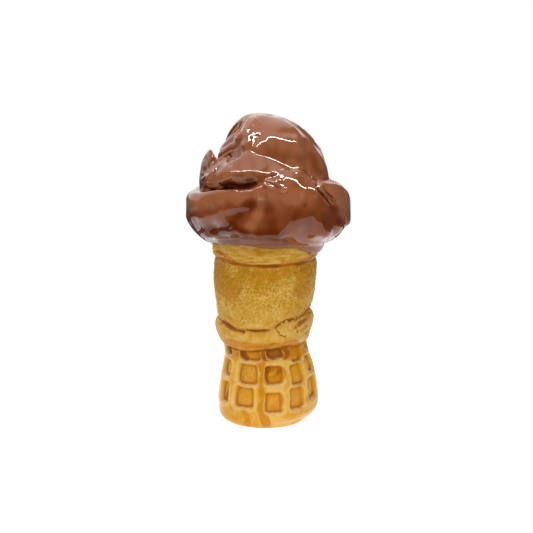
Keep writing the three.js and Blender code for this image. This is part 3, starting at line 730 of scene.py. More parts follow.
def layer_skin(layer):
    """Points and faces of one lapped layer of the scoop."""
    bearing = np.arange(LAYER_SIDES) * 360 / LAYER_SIDES
    foot, lip = layer["foot"][0], layer["lip"][0]
    rings = []
    for (r0, r1, out), (h0, h1, up), inset in rings_of(layer):
        radius = mixed(reading(layer[r0], bearing), reading(layer[r1], bearing), out) * inset
        height = mixed(reading(layer[h0], bearing), reading(layer[h1], bearing), up)
        rise = np.clip((height - foot) / (lip - foot), 0, 1)
        x = radius * np.cos(np.radians(bearing)) + layer["centre"][0] + layer["lean"][0] * rise
        y = radius * np.sin(np.radians(bearing)) + layer["centre"][1] + layer["lean"][1] * rise
        rings.append(np.stack([x, y, height - (layer["dip"] if inset < 1 else 0)], axis=-1))
    rings = np.array(rings)
    return closed_rings(rings, rings[0].mean(axis=0), rings[-1].mean(axis=0))


def lump_skin(middle, radii, bearing, square, tip):
    """Points and faces of a ball of clay, stretched to its radii and pressed square."""
    around, up = LUMP_STEPS
    theta = np.arange(around) * 2 * math.pi / around
    rings = []
    for phi in np.linspace(-math.pi / 2, math.pi / 2, up + 1)[1:-1]:
        x, y = np.cos(theta) * math.cos(phi), np.sin(theta) * math.cos(phi)
        rings.append(np.stack([x, y, np.full(around, math.sin(phi))], axis=-1))
    points, faces = closed_rings(np.array(rings), (0, 0, -1), (0, 0, 1))
    points = np.sign(points) * np.abs(points) ** square * np.array(radii)
    turn = Matrix.Rotation(math.radians(bearing), 3, "Z") @ Matrix.Rotation(math.radians(tip), 3, "Y")
    return points @ np.array(turn).T + np.array(middle), faces


def unevenness(points):
    """The slow unevenness of clay worked by hand, from about -1 to 1."""
    x, y, z = points.T
    broad = np.sin(0.17 * x + 0.11 * z + 1.1) * np.sin(0.19 * y - 0.08 * z + 0.6)
    close = np.sin(0.33 * x - 0.21 * y + 0.27 * z) * np.sin(0.29 * y + 0.31 * z + 2.2)
    return 0.65 * broad + 0.35 * close


def handled(points):
    """The points after the broad strokes, which press towards the heart of the scoop."""
    bearing, height = bearing_of(points), points[:, 2]
    pressed = np.zeros(len(points))
    for path, width, depth in BROAD_STROKES:
        distances = np.full(len(points), np.inf)
        for (b0, h0), (b1, h1) in zip(path, path[1:]):
            x0 = np.radians(turn_from(bearing, b0)) * UNROLLED
            x1 = np.radians(turn_from(bearing, b1)) * UNROLLED
            y0, y1 = h0 - height, h1 - height
            dx, dy = x1 - x0, y1 - y0
            t = np.clip(-(x0 * dx + y0 * dy) / (dx * dx + dy * dy), 0, 1)
            distances = np.minimum(distances, np.hypot(x0 + t * dx, y0 + t * dy))
        pressed += depth * bump_of(distances, width)
    pressed *= between(*CROWN, np.hypot(points[:, 0], points[:, 1]))
    inwards = SCOOP_HEART - points
    inwards /= np.linalg.norm(inwards, axis=1)[:, None]
    return points + inwards * (pressed - HANDWORK * unevenness(points))[:, None]


def on_sheet(points):
    """Where points appear on the sheet through the aim, right of it and above it."""
    away = points - AIM
    share = EYE_DISTANCE / (EYE_DISTANCE - away @ TO_EYE)
    return away[:, 0] * share, (away @ SHEET_UP) * share


def strokes_over(points, strokes):
    """How much the strokes of the front raise each point, whichever way it faces."""
    right, up = on_sheet(points)
    raised = np.zeros(len(points))
    for path, width, height in strokes:
        distance, along = distance_to(rounded(path), right, up)
        uneven = 1 + STROKE_SWAY * np.sin(STROKE_WAVE * along + path[0][0])
        raised += height * uneven * bump_of(distance, width)
    return raised


def worked_front(mesh, strokes):
    """Raises or presses the front of a mesh along the strokes."""
    points, normals = points_of(mesh), normals_of(mesh)
    raised = strokes_over(points, strokes) * between(*WORKED_FACING, normals @ TO_EYE)
    move_points(mesh, points + normals * raised[:, None])


def thumbed_front(mesh, places):
    """Smooths the front of a mesh along the paths."""
    points, edges = points_of(mesh), edges_of(mesh)
    right, up = on_sheet(points)
    facing = between(*THUMBED_FACING, normals_of(mesh) @ TO_EYE)
    for path, width, rounds in places:
        share = bump_of(distance_to(rounded(path), right, up)[0], width) * facing
        near = share > 0
        reached = near[edges].any(axis=1)
        for _ in range(rounds):
            smooth = relaxed(points, edges[reached], 1, 1)
            points[near] = mixed(points, smooth, THUMB_PRESSURE * share[:, None])[near]
    move_points(mesh, points)


def joined_layers():
    """Points and faces of all the layers and lumps, each still with a skin of its own."""
    skins = [layer_skin(layer) for layer in (BELLY, FOLD, DOME)] + [lump_skin(*lump) for lump in LUMPS]
    points, faces = [], []
    count = 0
    for skin_points, skin_faces in skins:
        points.append(handled(skin_points))
        faces.extend([[index + count for index in face] for face in skin_faces])
        count += len(skin_points)
    return np.concatenate(points), faces


def seat_tool(gap):
    """The upright rod that cuts the cup's seat out of the scoop."""
    bearing = np.radians(np.arange(CUP_SIDES) * 360 / CUP_SIDES)
    ring = np.stack([np.cos(bearing), np.sin(bearing), np.zeros(CUP_SIDES)], axis=-1) * (RIM_RADIUS + gap)
    heights = np.linspace(RIM_TOP + gap - SEAT_DEPTH, RIM_TOP + gap, SEAT_RINGS)
    rings = np.array([ring + (0, 0, height) for height in heights])
    points, faces = closed_rings(rings, (0, 0, heights[0]), (0, 0, heights[-1]))
    return piece_from("seat_tool", settled(points), faces)


def cut_seat(scoop, gap):
    """Cuts the cup's seat out of the scoop."""
    tool = seat_tool(gap)
    seat = scoop.modifiers.new("seat", "BOOLEAN")
    seat.operation = "DIFFERENCE"
    seat.solver = "MANIFOLD"
    seat.object = tool
    with_modifiers_applied(scoop)
    tool_mesh = tool.data
    bpy.data.objects.remove(tool)
    bpy.data.meshes.remove(tool_mesh)


def store_scoop_looks(mesh):
    """Keeps where the scoop's glaze is milky, with a painted sheen, and where it is deep, with painted shade,
    and the hollows it pools in.
    """
    points = points_of(mesh)
    facing = between(*GLAZED_FACING, normals_of(mesh) @ TO_EYE)
    high = between(*TURNS_MILKY_AND_SHEENED, points[:, 2])
    milky_and_sheen_behind, deep_and_shade_behind = MILKY_AND_SHEEN_BEHIND * high, DEEP_AND_SHADE_BEHIND * (1 - high)
    store(mesh, "milky", mixed(milky_and_sheen_behind, strokes_over(points, MILKY_AND_SHEEN_GLAZE), facing))
    store(mesh, "deep", mixed(deep_and_shade_behind, strokes_over(points, DEEP_AND_SHADE_GLAZE), facing))
    store_hollows(mesh, SCOOP_HOLLOWS)


def build_scoop(settings):
    """The scoop: lapped layers and lumps joined into one skin, worked over and seated on the cup."""
    scoop = piece_from("chocolate_scoop", *joined_layers())
    remesh = scoop.modifiers.new("one_skin", "REMESH")
    remesh.mode = "VOXEL"
    remesh.voxel_size = settings.surface_step
    with_modifiers_applied(scoop)
    soften(scoop.data, settings.softening)
    worked_front(scoop.data, FRONT_SWELLS)
    thumbed_front(scoop.data, FRONT_THUMBED)
    worked_front(scoop.data, FRONT_STROKES)
    soften(scoop.data, 1)
    cut_seat(scoop, settings.seat_gap / MM)
    store_scoop_looks(scoop.data)
    return scoop


# ---- the cup -------------------------------------------------------------------------------------


def settled(points):
    """Points of the plain turned cup, moved to where the hand-built one has them."""
    x, y, z = points.T
    bearing = bearing_of(points)
    foot, top = COLLAR_HEIGHTS
    share = np.clip((z - foot) / (top - foot), 0, 1)
    lift = mixed(reading(COLLAR_FOOT_LIFT, bearing), reading(COLLAR_TOP_LIFT, bearing), share)
    worn = np.maximum(1 - (turn_from(WORN_EDGE["bearing"], bearing) / WORN_EDGE["spread"]) ** 2, 0)
    outwards = between(SOLE_RADIUS, WORN_EDGE["radius"], np.hypot(x, y))
    height = (
        z
        + lift * zone(z, LIFT_STARTS, LIFT_ENDS)
        + WORN_EDGE["lift"] * worn * outwards * (1 - between(0, WORN_EDGE["top"], z))
    )
    across = SOLE_SHIFT + sum(shift * between(low, high, z) for shift, low, high in SHIFTS)
    return np.stack([x + across, y, height], axis=-1)


def grain(points, size, seed):
    """Smooth random values from -1 to 1, with features about as large as size."""
    scaled = points / size + seed * SEED_STEP
    return np.array([noise.noise(Vector(point)) for point in scaled])


def cup_outline():
    """Points at even steps up the side of the cup, with its corners eased."""
    corners = np.array(CUP_OUTLINE)
    lengths = np.concatenate([[0], np.cumsum(np.hypot(*np.diff(corners, axis=0).T))])
    places = np.linspace(0, lengths[-1], round(lengths[-1] / OUTLINE_STEP))
    outline = np.stack([np.interp(places, lengths, corners[:, k]) for k in (0, 1)], axis=-1)
    for _ in range(OUTLINE_EASING):
        outline[1:-1] = 0.25 * outline[:-2] + 0.5 * outline[1:-1] + 0.25 * outline[2:]
    return outline


def radius_at(height):
    radii, heights = np.array(CUP_OUTLINE).T
    return float(np.interp(height, heights, radii))


def pocket_shape(bearing, height, wobble):
    """For each point, how far inside a pocket's outline it is, and how far below and left of its middle."""
    inside = np.full(bearing.shape, -np.inf)
    below, left_of = np.zeros(bearing.shape), np.zeros(bearing.shape)
    for left, right, low, high in (pocket for column in POCKETS for pocket in column):
        middle, half_height = (low + high) / 2, (high - low) / 2
        radius = radius_at(min(middle, POCKET["widest_at"]))
        half_width = radius * math.radians(right - left) / 2
        across = np.radians(turn_from((left + right) / 2, bearing)) * radius + wobble
        up = height - middle + POCKET["wobble_up"] * wobble
        corner = min(POCKET["corner"], half_height - POCKET["shortest_side"])
        x, y = np.abs(across) - (half_width - corner), np.abs(up) - (half_height - corner)
        depth = corner - np.hypot(np.maximum(x, 0), np.maximum(y, 0)) - np.minimum(np.maximum(x, y), 0)
        nearer = depth > inside
        below = np.where(nearer, -up / half_height, below)
        left_of = np.where(nearer, -across / half_width, left_of)
        inside = np.maximum(inside, depth)
    return inside, below, left_of


class Wall:
    """The cup's wall, point by point and ring by ring, before anything is pressed into it."""

    def __init__(self):
        outline = cup_outline()
        self.bearing = np.tile(np.arange(CUP_SIDES) * 360 / CUP_SIDES, len(outline))
        self.radius = np.repeat(outline[:, 0], CUP_SIDES)
        self.height = np.repeat(outline[:, 1], CUP_SIDES)
        theta = np.radians(self.bearing)
        self.outwards = np.stack([np.cos(theta), np.sin(theta)], axis=-1)
        self.facing = between(*WORKED_FACING, self.outwards @ TO_EYE[:2])

    def at(self, radii):
        """The wall's points, moved out to those radii."""
        return np.column_stack([self.outwards * radii[:, None], self.height])

    def strokes(self, strokes, radii):
        """How much the strokes of the front raise the wall, where it has those radii."""
        return strokes_over(settled(self.at(radii)), strokes) * self.facing

    def grained(self, grains):
        """Smooth random values over the wall: the sum of some grains."""
        points = self.at(np.full(len(self.height), GRAIN_RADIUS))
        return sum(amount * grain(points, size, seed) for amount, size, seed in grains)

    def skin(self, radii):
        """Points and faces of the closed cup whose wall has those radii."""
        rings = self.at(radii).reshape(-1, CUP_SIDES, 3)
        sole = [rings[0] * (share, share, 1) for share in END_RINGS]
        top = [rings[-1] * (share, share, 1) for share in reversed(END_RINGS)]
        return closed_rings(np.concatenate([sole, rings, top]), (0, 0, 0), (0, 0, RIM_TOP))

    def store(self, mesh, name, values):
        """Keeps one number for each point of the wall, and 0 on the cup's ends."""
        ends = np.zeros(len(END_RINGS) * CUP_SIDES)
        store(mesh, name, np.concatenate([ends, values, ends, (0, 0)]))


def torn_end(wall):
    """How far inside the collar's torn end each point is, and how much of the tear shows there."""
    right, up = on_sheet(settled(wall.at(wall.radius)))
    inside = inside_loop(rounded(TORN_LOOP, 3), right, up) + wall.grained(TORN_TEETH)
    torn = np.where(wall.facing > TORN_FACING, inside, FAR_OUTSIDE)
    return torn, wall.facing * between(*TORN_SHOWS, up)


def pressed_seams(wall, torn, tear):
    """How deep each point of the wall lies in a seam."""
    wave = wall.grained(SEAM_WAVE)
    foot, top, rim = (
        depth * bump_of(wall.height - height - stray * wave, width)
        for height, depth, width, stray in (FOOT_SEAM, TOP_SEAM, RIM_SEAM)
    )
    right, _ = on_sheet(settled(wall.at(wall.radius)))
    faint = SEAM_FAINT_SHARE * tear * between(*SEAM_FAINT, right)
    top = top * (1 - between(*SEAM_STOPS, torn)) * (1 - faint)
    return (SEAM_EVEN + wall.grained(SEAM_PRESS)) * (foot + top + rim)


def pressed_pockets(wall):
    """Where each point is in its pocket, and how far it is pressed in, from 0 on a rib to 1 on a floor."""
    inside, below, left_of = pocket_shape(wall.bearing, wall.height, wall.grained(POCKET_WOBBLE))
    inside -= POCKET["under_collar"] * between(*POCKET["collar_edge"], wall.height)
    softness = np.clip(np.maximum(-below, -POCKET["soft_right"] * left_of), 0, 1)
    floor = between(POCKET["edge"], POCKET["steep"] + POCKET["soft"] * softness, inside)
    return inside, below, left_of, floor


def build_cup(settings):
    """The cup: one turned wall with its seams, pressed lattice and torn collar, settled by hand."""
    wall = Wall()
    height = wall.height
    collar, barrel, rim = zone(height, *COLLAR_ZONE), zone(height, *BARREL_ZONE), between(*RIM_STARTS, height)
    torn, tear = torn_end(wall)
    seams = pressed_seams(wall, torn, tear)
    inside, below, left_of, floor = pressed_pockets(wall)
    pits = sum(between(*PIT_EDGE, wall.grained([pit])) for pit in PITS)
    brushed = wall.grained(BRUSHED)

    lapped = TORN_PROUD * between(*TORN_RISES, torn) * (1 - between(*TORN_SINKS, torn))
    hammered = (wall.grained(HAMMERED) - PIT_DEPTH * pits) * (barrel + COLLAR_HAMMERED * collar)
    pillow = POCKET["pillow"] * np.maximum(1 - below**2, 0) * np.maximum(1 - left_of**2, 0)
    out = (lapped - TORN_CREASE_DEPTH * band(torn, *TORN_CREASE)) * tear
    out += wall.grained(UNTRUE) * between(*UNTRUE_STARTS, height)
    out += hammered + BRUSH_DEPTH * brushed * rim - seams
    out += RIB_HEIGHT * band(inside, *RIB_CREST) * (1 - collar)
    out -= settings.pocket_depth / MM * floor * (1 - pillow)
    out += wall.strokes(CUP_STROKES, wall.radius + out)
    out *= 1 - SEATED_SMOOTHER * between(*SEATED, height)

    points, faces = wall.skin(wall.radius + out)
    cup = piece_from("wafer_cup_glazed", settled(points), faces)
    looks = {
        "barrel": barrel,
        "lattice": 1 - between(*LATTICE_ENDS, height),
        "pocket": floor,
        "upper": barrel * between(*UPPER_BARREL, height),
        # the pool: pooled glaze and painted shade, heavier at a pocket's foot and left side
        "pool": floor * band(inside, *POOL_AND_SHADE_BAND) * (0.5 + 0.5 * np.maximum(below, POOL_SHADE_LEFT * left_of)),
        # the ribs: thin glaze and a painted glint along the pockets' edges
        "rib": (1 - floor) * band(inside, *RIB_AND_GLINT_BAND),
        "brush": brushed * rim,
        # the lip: bare clay and a painted glint along a pocket's lower edge
        "lip": band(inside, *LIP_GLINT_BAND) * between(*LIP_GLINT_BELOW, below),
        "pit": pits * barrel,
        "seam": np.clip(seams * SEAM_STAIN, 0, 1),
        "torn": band(torn, *TORN_LINE) * tear,
        # runs and burnt spots, partly painted shade under the collar's foot
        "runs": wall.strokes(AMBER_RUNS_AND_SHADE, wall.radius),
        "shade": wall.strokes(BURNT_AND_SHADED_SPOTS, wall.radius),
        "stain": wall.strokes(ASH_STAINS, wall.radius)
        + STAINED_BEHIND * (1 - wall.facing) * between(*STAIN_STARTS, height),
    }
    for name, values in looks.items():
        wall.store(cup.data, name, values)
    store_hollows(cup.data, CUP_HOLLOWS)
    return cup


# ---- shading -------------------------------------------------------------------------------------


class Value:
    """A node's number that Python expressions can use."""

    def __init__(self, shading, socket):
        self.shading = shading
        self.socket = socket

    def maths(self, operation, first, second):
        node = self.shading.add("ShaderNodeMath", {"operation": operation}, {0: first, 1: second})
        return Value(self.shading, node.outputs[0])

    def __add__(self, other):
        return self.maths("ADD", self, other)

    __radd__ = __add__

    def __sub__(self, other):
        return self.maths("SUBTRACT", self, other)

    def __rsub__(self, other):
        return self.maths("SUBTRACT", other, self)

    def __mul__(self, other):
        return self.maths("MULTIPLY", self, other)

    __rmul__ = __mul__


class Shading:
    """A node tree, built one node at a time."""

    def __init__(self, tree):
        self.tree = tree
        tree.nodes.clear()

    def add(self, kind, settings=None, sockets=None):
        """A node of that type, with its settings made first and then its sockets filled or linked."""
        node = self.tree.nodes.new(kind)
        for name, value in (settings or {}).items():
            if name == "stops":
                self.set_stops(node.color_ramp, value)
            else:
                setattr(node, name, value)
        for name, value in (sockets or {}).items():
            if isinstance(value, Value):
                self.tree.links.new(value.socket, node.inputs[name])
            elif isinstance(value, bpy.types.NodeSocket):
                self.tree.links.new(value, node.inputs[name])
            else:
                node.inputs[name].default_value = value
        return node

    @staticmethod
    def set_stops(ramp, stops):
        while len(ramp.elements) < len(stops):
            ramp.elements.new(0.5)
        for element, (place, colour) in zip(ramp.elements, stops):
            element.position = place
            element.color = (*colour, 1)

    def attribute(self, name):
        return Value(self, self.add("ShaderNodeAttribute", {"attribute_name": name}).outputs["Fac"])

    def noise(self, size, detail=2, distortion=0):
        """Cloudy values from 0 to 1, with features about as large as size, in millimetres."""
        sockets = {
            "Vector": self.add("ShaderNodeTexCoord").outputs["Object"],
            "Scale": 1 / (size * MM),
            "Detail": detail,
            "Distortion": distortion,
        }
        return Value(self, self.add("ShaderNodeTexNoise", None, sockets).outputs["Fac"])

    def rise(self, value, low, high):
        """A smooth rise from 0 at low to 1 at high. It falls where low is the greater."""
        if low > high:
            return 1 - self.rise(value, high, low)
        sockets = {"Value": value, "From Min": low, "From Max": high}
        node = self.add("ShaderNodeMapRange", {"interpolation_type": "SMOOTHSTEP"}, sockets)
        return Value(self, node.outputs[0])

    def mix(self, share, first, second):
        """A colour from first to second."""
        first, second = (
            colour if isinstance(colour, bpy.types.NodeSocket) else (*colour, 1) for colour in (first, second)
        )
        node = self.add("ShaderNodeMix", {"data_type": "RGBA"}, {0: share, 6: first, 7: second})
        return node.outputs[2]

    def layered(self, base, layers):
        """A colour with layers of others over it: how much of each layer shows, and its colour."""
        for share, colour in layers:
            base = self.mix(share, base, colour)
        return base

    def bump(self, height, distance):
        """A normal that follows a height, which stands for a distance in millimetres."""
        sockets = {"Height": height, "Distance": distance * MM, "Strength": 1.0}
        return self.add("ShaderNodeBump", None, sockets).outputs["Normal"]

    def surface(self, sockets):
        shader = self.add("ShaderNodeBsdfPrincipled", None, sockets)
        self.add("ShaderNodeOutputMaterial", None, {"Surface": shader.outputs[0]})


def new_material(name):
    material = bpy.data.materials.new(name)
    material.use_nodes = True
    return material, Shading(material.node_tree)


def chocolate_glaze(settings):
    """A thick glossy brown glaze: nearly black in the creases, from pooled glaze and painted shade, and rusty
    where it thins over an edge.
    """
    material, shading = new_material("chocolate_glaze")
    rise = shading.rise
    milky, deep, fold, crease = (shading.attribute(name) for name in ("milky", "deep", "fold", "crease"))
    cloud, streak = shading.noise(14, 3, 0.4), shading.noise(3.5, 3, 1.2)
    thin = rise(crease, -0.025, -0.12) * rise(streak, 0.25, 0.7) * rise(deep, 0.5, 0.05)
    layers = [
        # milky glaze with a painted sheen, and deep glaze with painted shade
        (rise(milky + 0.25 * cloud + 0.1 * streak, 0.1, 1.2), settings.milky),
        (rise(deep + 0.25 * cloud, 0.15, 1.3), settings.deep),
        # pooled glaze and painted shade in the folds and creases
        (rise(fold, 0.05, 0.9) * 0.75, settings.pooled_and_shade),
        (rise(crease, 0.03, 0.16) * 0.9, settings.pooled_and_shade),
        (thin * 0.75, settings.thin),
    ]
    ripple = shading.noise(5, 2) * 0.5 + shading.noise(1.6, 2) * 0.12
    shading.surface(
        {
            "Base Color": shading.layered(settings.glaze, layers),
            "Roughness": rise(streak, 0.4, 0.9) * 0.04 + 0.04,
            "IOR": settings.gloss,
            "Normal": shading.bump(ripple, 0.13),
        }
    )
    return material


def honey_glaze(settings):
    """A satin honey glaze: pale on the ribs, with a painted glint along their edges, amber where it pools,
    with painted shade along the pockets' foot and left side and under the collar, and mottled and pitted over
    the barrel.
    """
    material, shading = new_material("honey_glaze")
    rise = shading.rise
    crease, fold, barrel, lattice, rib, brush, pocket, pool = (
        shading.attribute(name)
        for name in ("crease", "fold", "barrel", "lattice", "rib", "brush", "pocket", "pool")
    )
    lip, pit, seam, torn, runs, stain, shade, upper = (
        shading.attribute(name) for name in ("lip", "pit", "seam", "torn", "runs", "stain", "shade", "upper")
    )
    cloud, mottle = shading.noise(8, 3, 0.5), shading.noise(3, 4, 0.6)
    fine, grit = shading.noise(1.1, 3), shading.noise(0.6, 2)
    dry = 1 - lattice
    layers = [
        # the lattice is honey, and the glaze is thin here and there and on its ribs, where the pale band
        # along the pockets' edges is also a painted glint
        (rise(lattice + 0.6 * mottle, 0.5, 1.1) * 0.7, settings.honey),
        (rise(cloud + 0.25 * mottle, 0.5, 0.76) * 0.75, settings.bare),
        (rib * rise(mottle, 0.2, 0.5) * 0.85, settings.bare),
        # ash stains the barrel, and specks all the dry glaze
        (rise(stain + 0.9 * mottle + 0.4 * fine, 0.8, 1.6) * barrel * 0.45, settings.olive),
        (rise(stain + 0.7 * mottle + 0.5 * fine, 0.85, 1.5) * barrel * 0.95, settings.amber),
        (rise(fine + 0.06 * stain, 0.49, 0.62) * (0.14 + 0.66 * upper), settings.olive),
        (rise(fine, 0.46, 0.34) * 0.25 * dry, settings.bare),
        (rise(grit, 0.52, 0.66) * (0.15 + 0.25 * upper) * dry, settings.olive),
        # the rim band is brushed
        (rise(brush, 0.05, 0.5) * 0.6, settings.bare),
        (rise(brush, -0.1, -0.55) * 0.5, settings.amber),
        # the glaze ran down the front, with painted shade under the collar's foot, and pooled in the pockets,
        # with painted shade along their foot and left side
        (rise(runs + 1.3 * mottle + 0.6 * cloud, 1.2, 2.0) * 0.9, settings.amber),
        (pocket * rise(mottle, 0.3, 0.6) * 0.5, settings.honey),
        (pocket * rise(cloud + 0.5 * fine, 0.65, 0.9) * 0.5, settings.amber),
        (rise(pool + 0.4 * mottle, 0.45, 1.1) * 0.75, settings.burnt_and_shade),
        # it is darker in seams and pits, and in hollows and under the collar's foot, where pooled and burnt
        # glaze carry painted shade
        (rise(fold, 0.05, 0.5) * 0.7, settings.amber),
        (rise(crease, 0.04, 0.2) * (0.85 - 0.5 * lattice), settings.burnt_and_shade),
        (pit * 0.45, settings.olive),
        (rise(shade + 0.3 * mottle, 0.4, 1.0) * 0.85, settings.burnt_and_shade),
        (rise(seam + 0.3 * mottle, 0.4, 0.95) * 0.9, settings.burnt_and_shade),
        (torn * rise(fine, 0.4, 0.6) * 0.4, settings.burnt_and_shade),
        # edges are thinly glazed, and under the pockets the clay shows, with a painted glint along their
        # lower edges
        (rise(crease, -0.03, -0.14) * 0.55, settings.bare),
        (lip * rise(mottle, 0.35, 0.6) * 0.8, settings.rust_and_glint),
    ]
    gritty = fine * 0.6 + grit * 0.4
    shading.surface(
        {
            "Base Color": shading.layered(settings.straw, layers),
            "Roughness": dry * 0.22 + rise(fine, 0.3, 0.7) * 0.1 + 0.14,
            "IOR": settings.gloss,
            "Normal": shading.bump(gritty * (dry * 0.8 + 0.12) + mottle * 0.3, 0.7),
        }
    )
    return material


# ---- the stage -----------------------------------------------------------------------------------

# The soft lights are strips between two points, in metres, turned towards the lit point.
FRONT_STRIP = {"left": (-0.60, -0.30, 1.03), "right": (0.8, -0.12, 1.03), "width": 0.07}
FILL = {"left": (-1.05, -1.08, 0.9), "right": (1.3, -1.08, 0.9), "width": 1.0}
LIT_POINT = Vector((0, 0, 0.13))

# The room by its directions, which run from -1 to 1 to the right, back and up. The white backdrop is where
# its slope, of so much back and up, is over an edge above the horizon. It ends earlier towards the right.
BACKDROP_SLOPE = {"back": 0.8, "up": 0.6}
BACKDROP_EDGE = (0.2, 0.44)
HORIZON = (-0.12, 0.1)
RIGHT_SIDE, RIGHT_SIDE_SHARE = (-0.05, 0.66), 0.8
SIDE_EDGE = (-0.5, 0.3)


def plain_material(name, colour, glow):
    material, shading = new_material(name)
    sockets = {"Base Color": (*colour, 1), "Roughness": 0.9, "Specular IOR Level": 0.1}
    shading.surface({**sockets, "Emission Color": (1, 1, 1, 1), "Emission Strength": glow})
    return material


def plain_camera(name, lens):
    """The camera on its stand, turned towards its aim."""
    camera = bpy.data.cameras.new(name)
    camera.lens = lens
    stand = bpy.data.objects.new(name, camera)
    stand.location = Vector((AIM + TO_EYE * EYE_DISTANCE) * MM)
    stand.rotation_mode = "QUATERNION"
    stand.rotation_quaternion = (Vector(AIM * MM) - stand.location).to_track_quat("-Z", "Y")
    bpy.context.scene.collection.objects.link(stand)
    return stand


def softbox(name, left, right, width, power):
    """A soft strip light between two points, that shines on the lit point."""
    lamp = bpy.data.lights.new(name, "AREA")
    lamp.shape = "RECTANGLE"
    left, right = Vector(left), Vector(right)
    lamp.size, lamp.size_y = (right - left).length, width
    lamp.energy = power
    box = bpy.data.objects.new(name, lamp)
    box.location = (left + right) / 2
    x = (right - left).normalized()
    away = box.location - LIT_POINT
    z = (away - x * away.dot(x)).normalized()
    box.rotation_mode = "QUATERNION"
    box.rotation_quaternion = Matrix((x, z.cross(x), z)).transposed().to_quaternion()
    box.visible_camera = False
    bpy.context.scene.collection.objects.link(box)
    return box


def studio_air(settings):
    """A room with a white backdrop behind and overhead, dim at the sides and dark in front."""
    world = bpy.data.worlds.new("studio_air")
    bpy.context.scene.world = world
    world.use_nodes = True
    shading = Shading(world.node_tree)
    direction = shading.add("ShaderNodeTexCoord").outputs["Generated"]
    split = shading.add("ShaderNodeSeparateXYZ", None, {"Vector": direction})
    right, back, up = (Value(shading, split.outputs[axis]) for axis in "XYZ")
    aside = shading.rise(right, *RIGHT_SIDE) * RIGHT_SIDE_SHARE
    slope = back * BACKDROP_SLOPE["back"] + up * BACKDROP_SLOPE["up"]
    white = shading.rise(slope - aside, *BACKDROP_EDGE) * shading.rise(up, *HORIZON)
    side = shading.rise(back, *SIDE_EDGE)
    seen = Value(shading, shading.add("ShaderNodeLightPath").outputs["Is Camera Ray"])
    lit = white * (settings.air - settings.side_air) + side * (settings.side_air - settings.dark_front)
    strength = (lit + settings.dark_front) * (1 - seen) + seen * settings.backdrop
    shader = shading.add("ShaderNodeBackground", None, {"Color": (1, 1, 1, 1), "Strength": strength})
    shading.add("ShaderNodeOutputWorld", None, {"Surface": shader.outputs[0]})


def build_stage(settings):
    """The floor, the air, the lights and the camera."""
    front, back, half = -settings.floor_front, settings.floor_back, settings.floor_side
    corners = [(-half, front, 0), (half, front, 0), (half, back, 0), (-half, settings.floor_back_left, 0)]
    floor = piece_from("floor", np.array(corners) / MM, [[0, 1, 2, 3]])
    floor.data.materials.append(plain_material("pale_floor", settings.floor_colour, settings.floor_glow))
    studio_air(settings)
    strip = softbox("front_strip", **FRONT_STRIP, power=settings.strip_power)
    strip.visible_diffuse = False
    fill = softbox("fill", **FILL, power=settings.fill_power)
    fill.visible_glossy = False
    bpy.context.scene.camera = plain_camera("front_view", settings.lens)
    bpy.context.scene.view_settings.view_transform = "Standard"


# ---- what a user can change ----------------------------------------------------------------------


def colour_setting(name, description, default):
    return bpy.props.FloatVectorProperty(
        name=name, description=description, default=default, size=3, min=0, max=1, subtype="COLOR"
    )


def length_setting(name, description, default):
    return bpy.props.FloatProperty(name=name, description=description, default=default, min=0, unit="LENGTH")


def power_setting(name, description, default):
    return bpy.props.FloatProperty(name=name, description=description, default=default, min=0, unit="POWER")


def number_setting(name, description, default):
    return bpy.props.FloatProperty(name=name, description=description, default=default, min=0)


class ScoopSettings(bpy.types.PropertyGroup):
    surface_step: length_setting("Surface step", "Distance between the points of the scoop's skin", 0.54 * MM)
    softening: bpy.props.IntProperty(name="Softening", description="Rounds of smoothing", default=4, min=0)
    seat_gap: length_setting("Seat gap", "Room between the scoop and the cup", 0.3 * MM)
    glaze: colour_setting("Glaze", "Colour of the glaze where it is thick", (0.23, 0.056, 0.015))
    # The milky glaze carries a painted sheen, and the deep and pooled glazes carry painted shade.
    milky: colour_setting("Milky glaze", "Colour of the glaze where it clouds", (0.36, 0.125, 0.052))
    deep: colour_setting("Deep glaze", "Colour of the glaze where it ran together", (0.13, 0.022, 0.003))
    pooled_and_shade: colour_setting("Pooled glaze", "Colour of the glaze in the creases", (0.07, 0.009, 0.002))
    thin: colour_setting("Thin glaze", "Colour of the glaze over an edge", (0.5, 0.19, 0.09))
    gloss: number_setting("Gloss", "Index of refraction of the glaze", 1.45)


class CupSettings(bpy.types.PropertyGroup):
    pocket_depth: length_setting("Pocket depth", "How deep the lattice is pressed in", 2.2 * MM)
    straw: colour_setting("Straw", "Colour of the barrel's and the collar's dry glaze", (0.58, 0.305, 0.028))
    honey: colour_setting("Honey", "Colour of the glaze of the lattice", (0.62, 0.27, 0.006))
    bare: colour_setting("Bare", "Colour of the glaze where it is thin", (0.72, 0.44, 0.11))
    olive: colour_setting("Olive", "Colour of the mottling on the barrel", (0.40, 0.20, 0.005))
    amber: colour_setting("Amber", "Colour of the glaze where it pools", (0.52, 0.19, 0.003))
    # The burnt amber is burnt glaze and painted shade, in hollows, along the pockets and under the collar.
    burnt_and_shade: colour_setting("Burnt amber", "Colour of the glaze in seams and corners", (0.27, 0.07, 0.001))
    # The rust is bare clay and a painted glint along the pockets' lower edges.
    rust_and_glint: colour_setting("Rust", "Colour of the clay that shows under the pockets", (0.78, 0.47, 0.26))
    gloss: number_setting("Gloss", "Index of refraction of the glaze", 1.22)


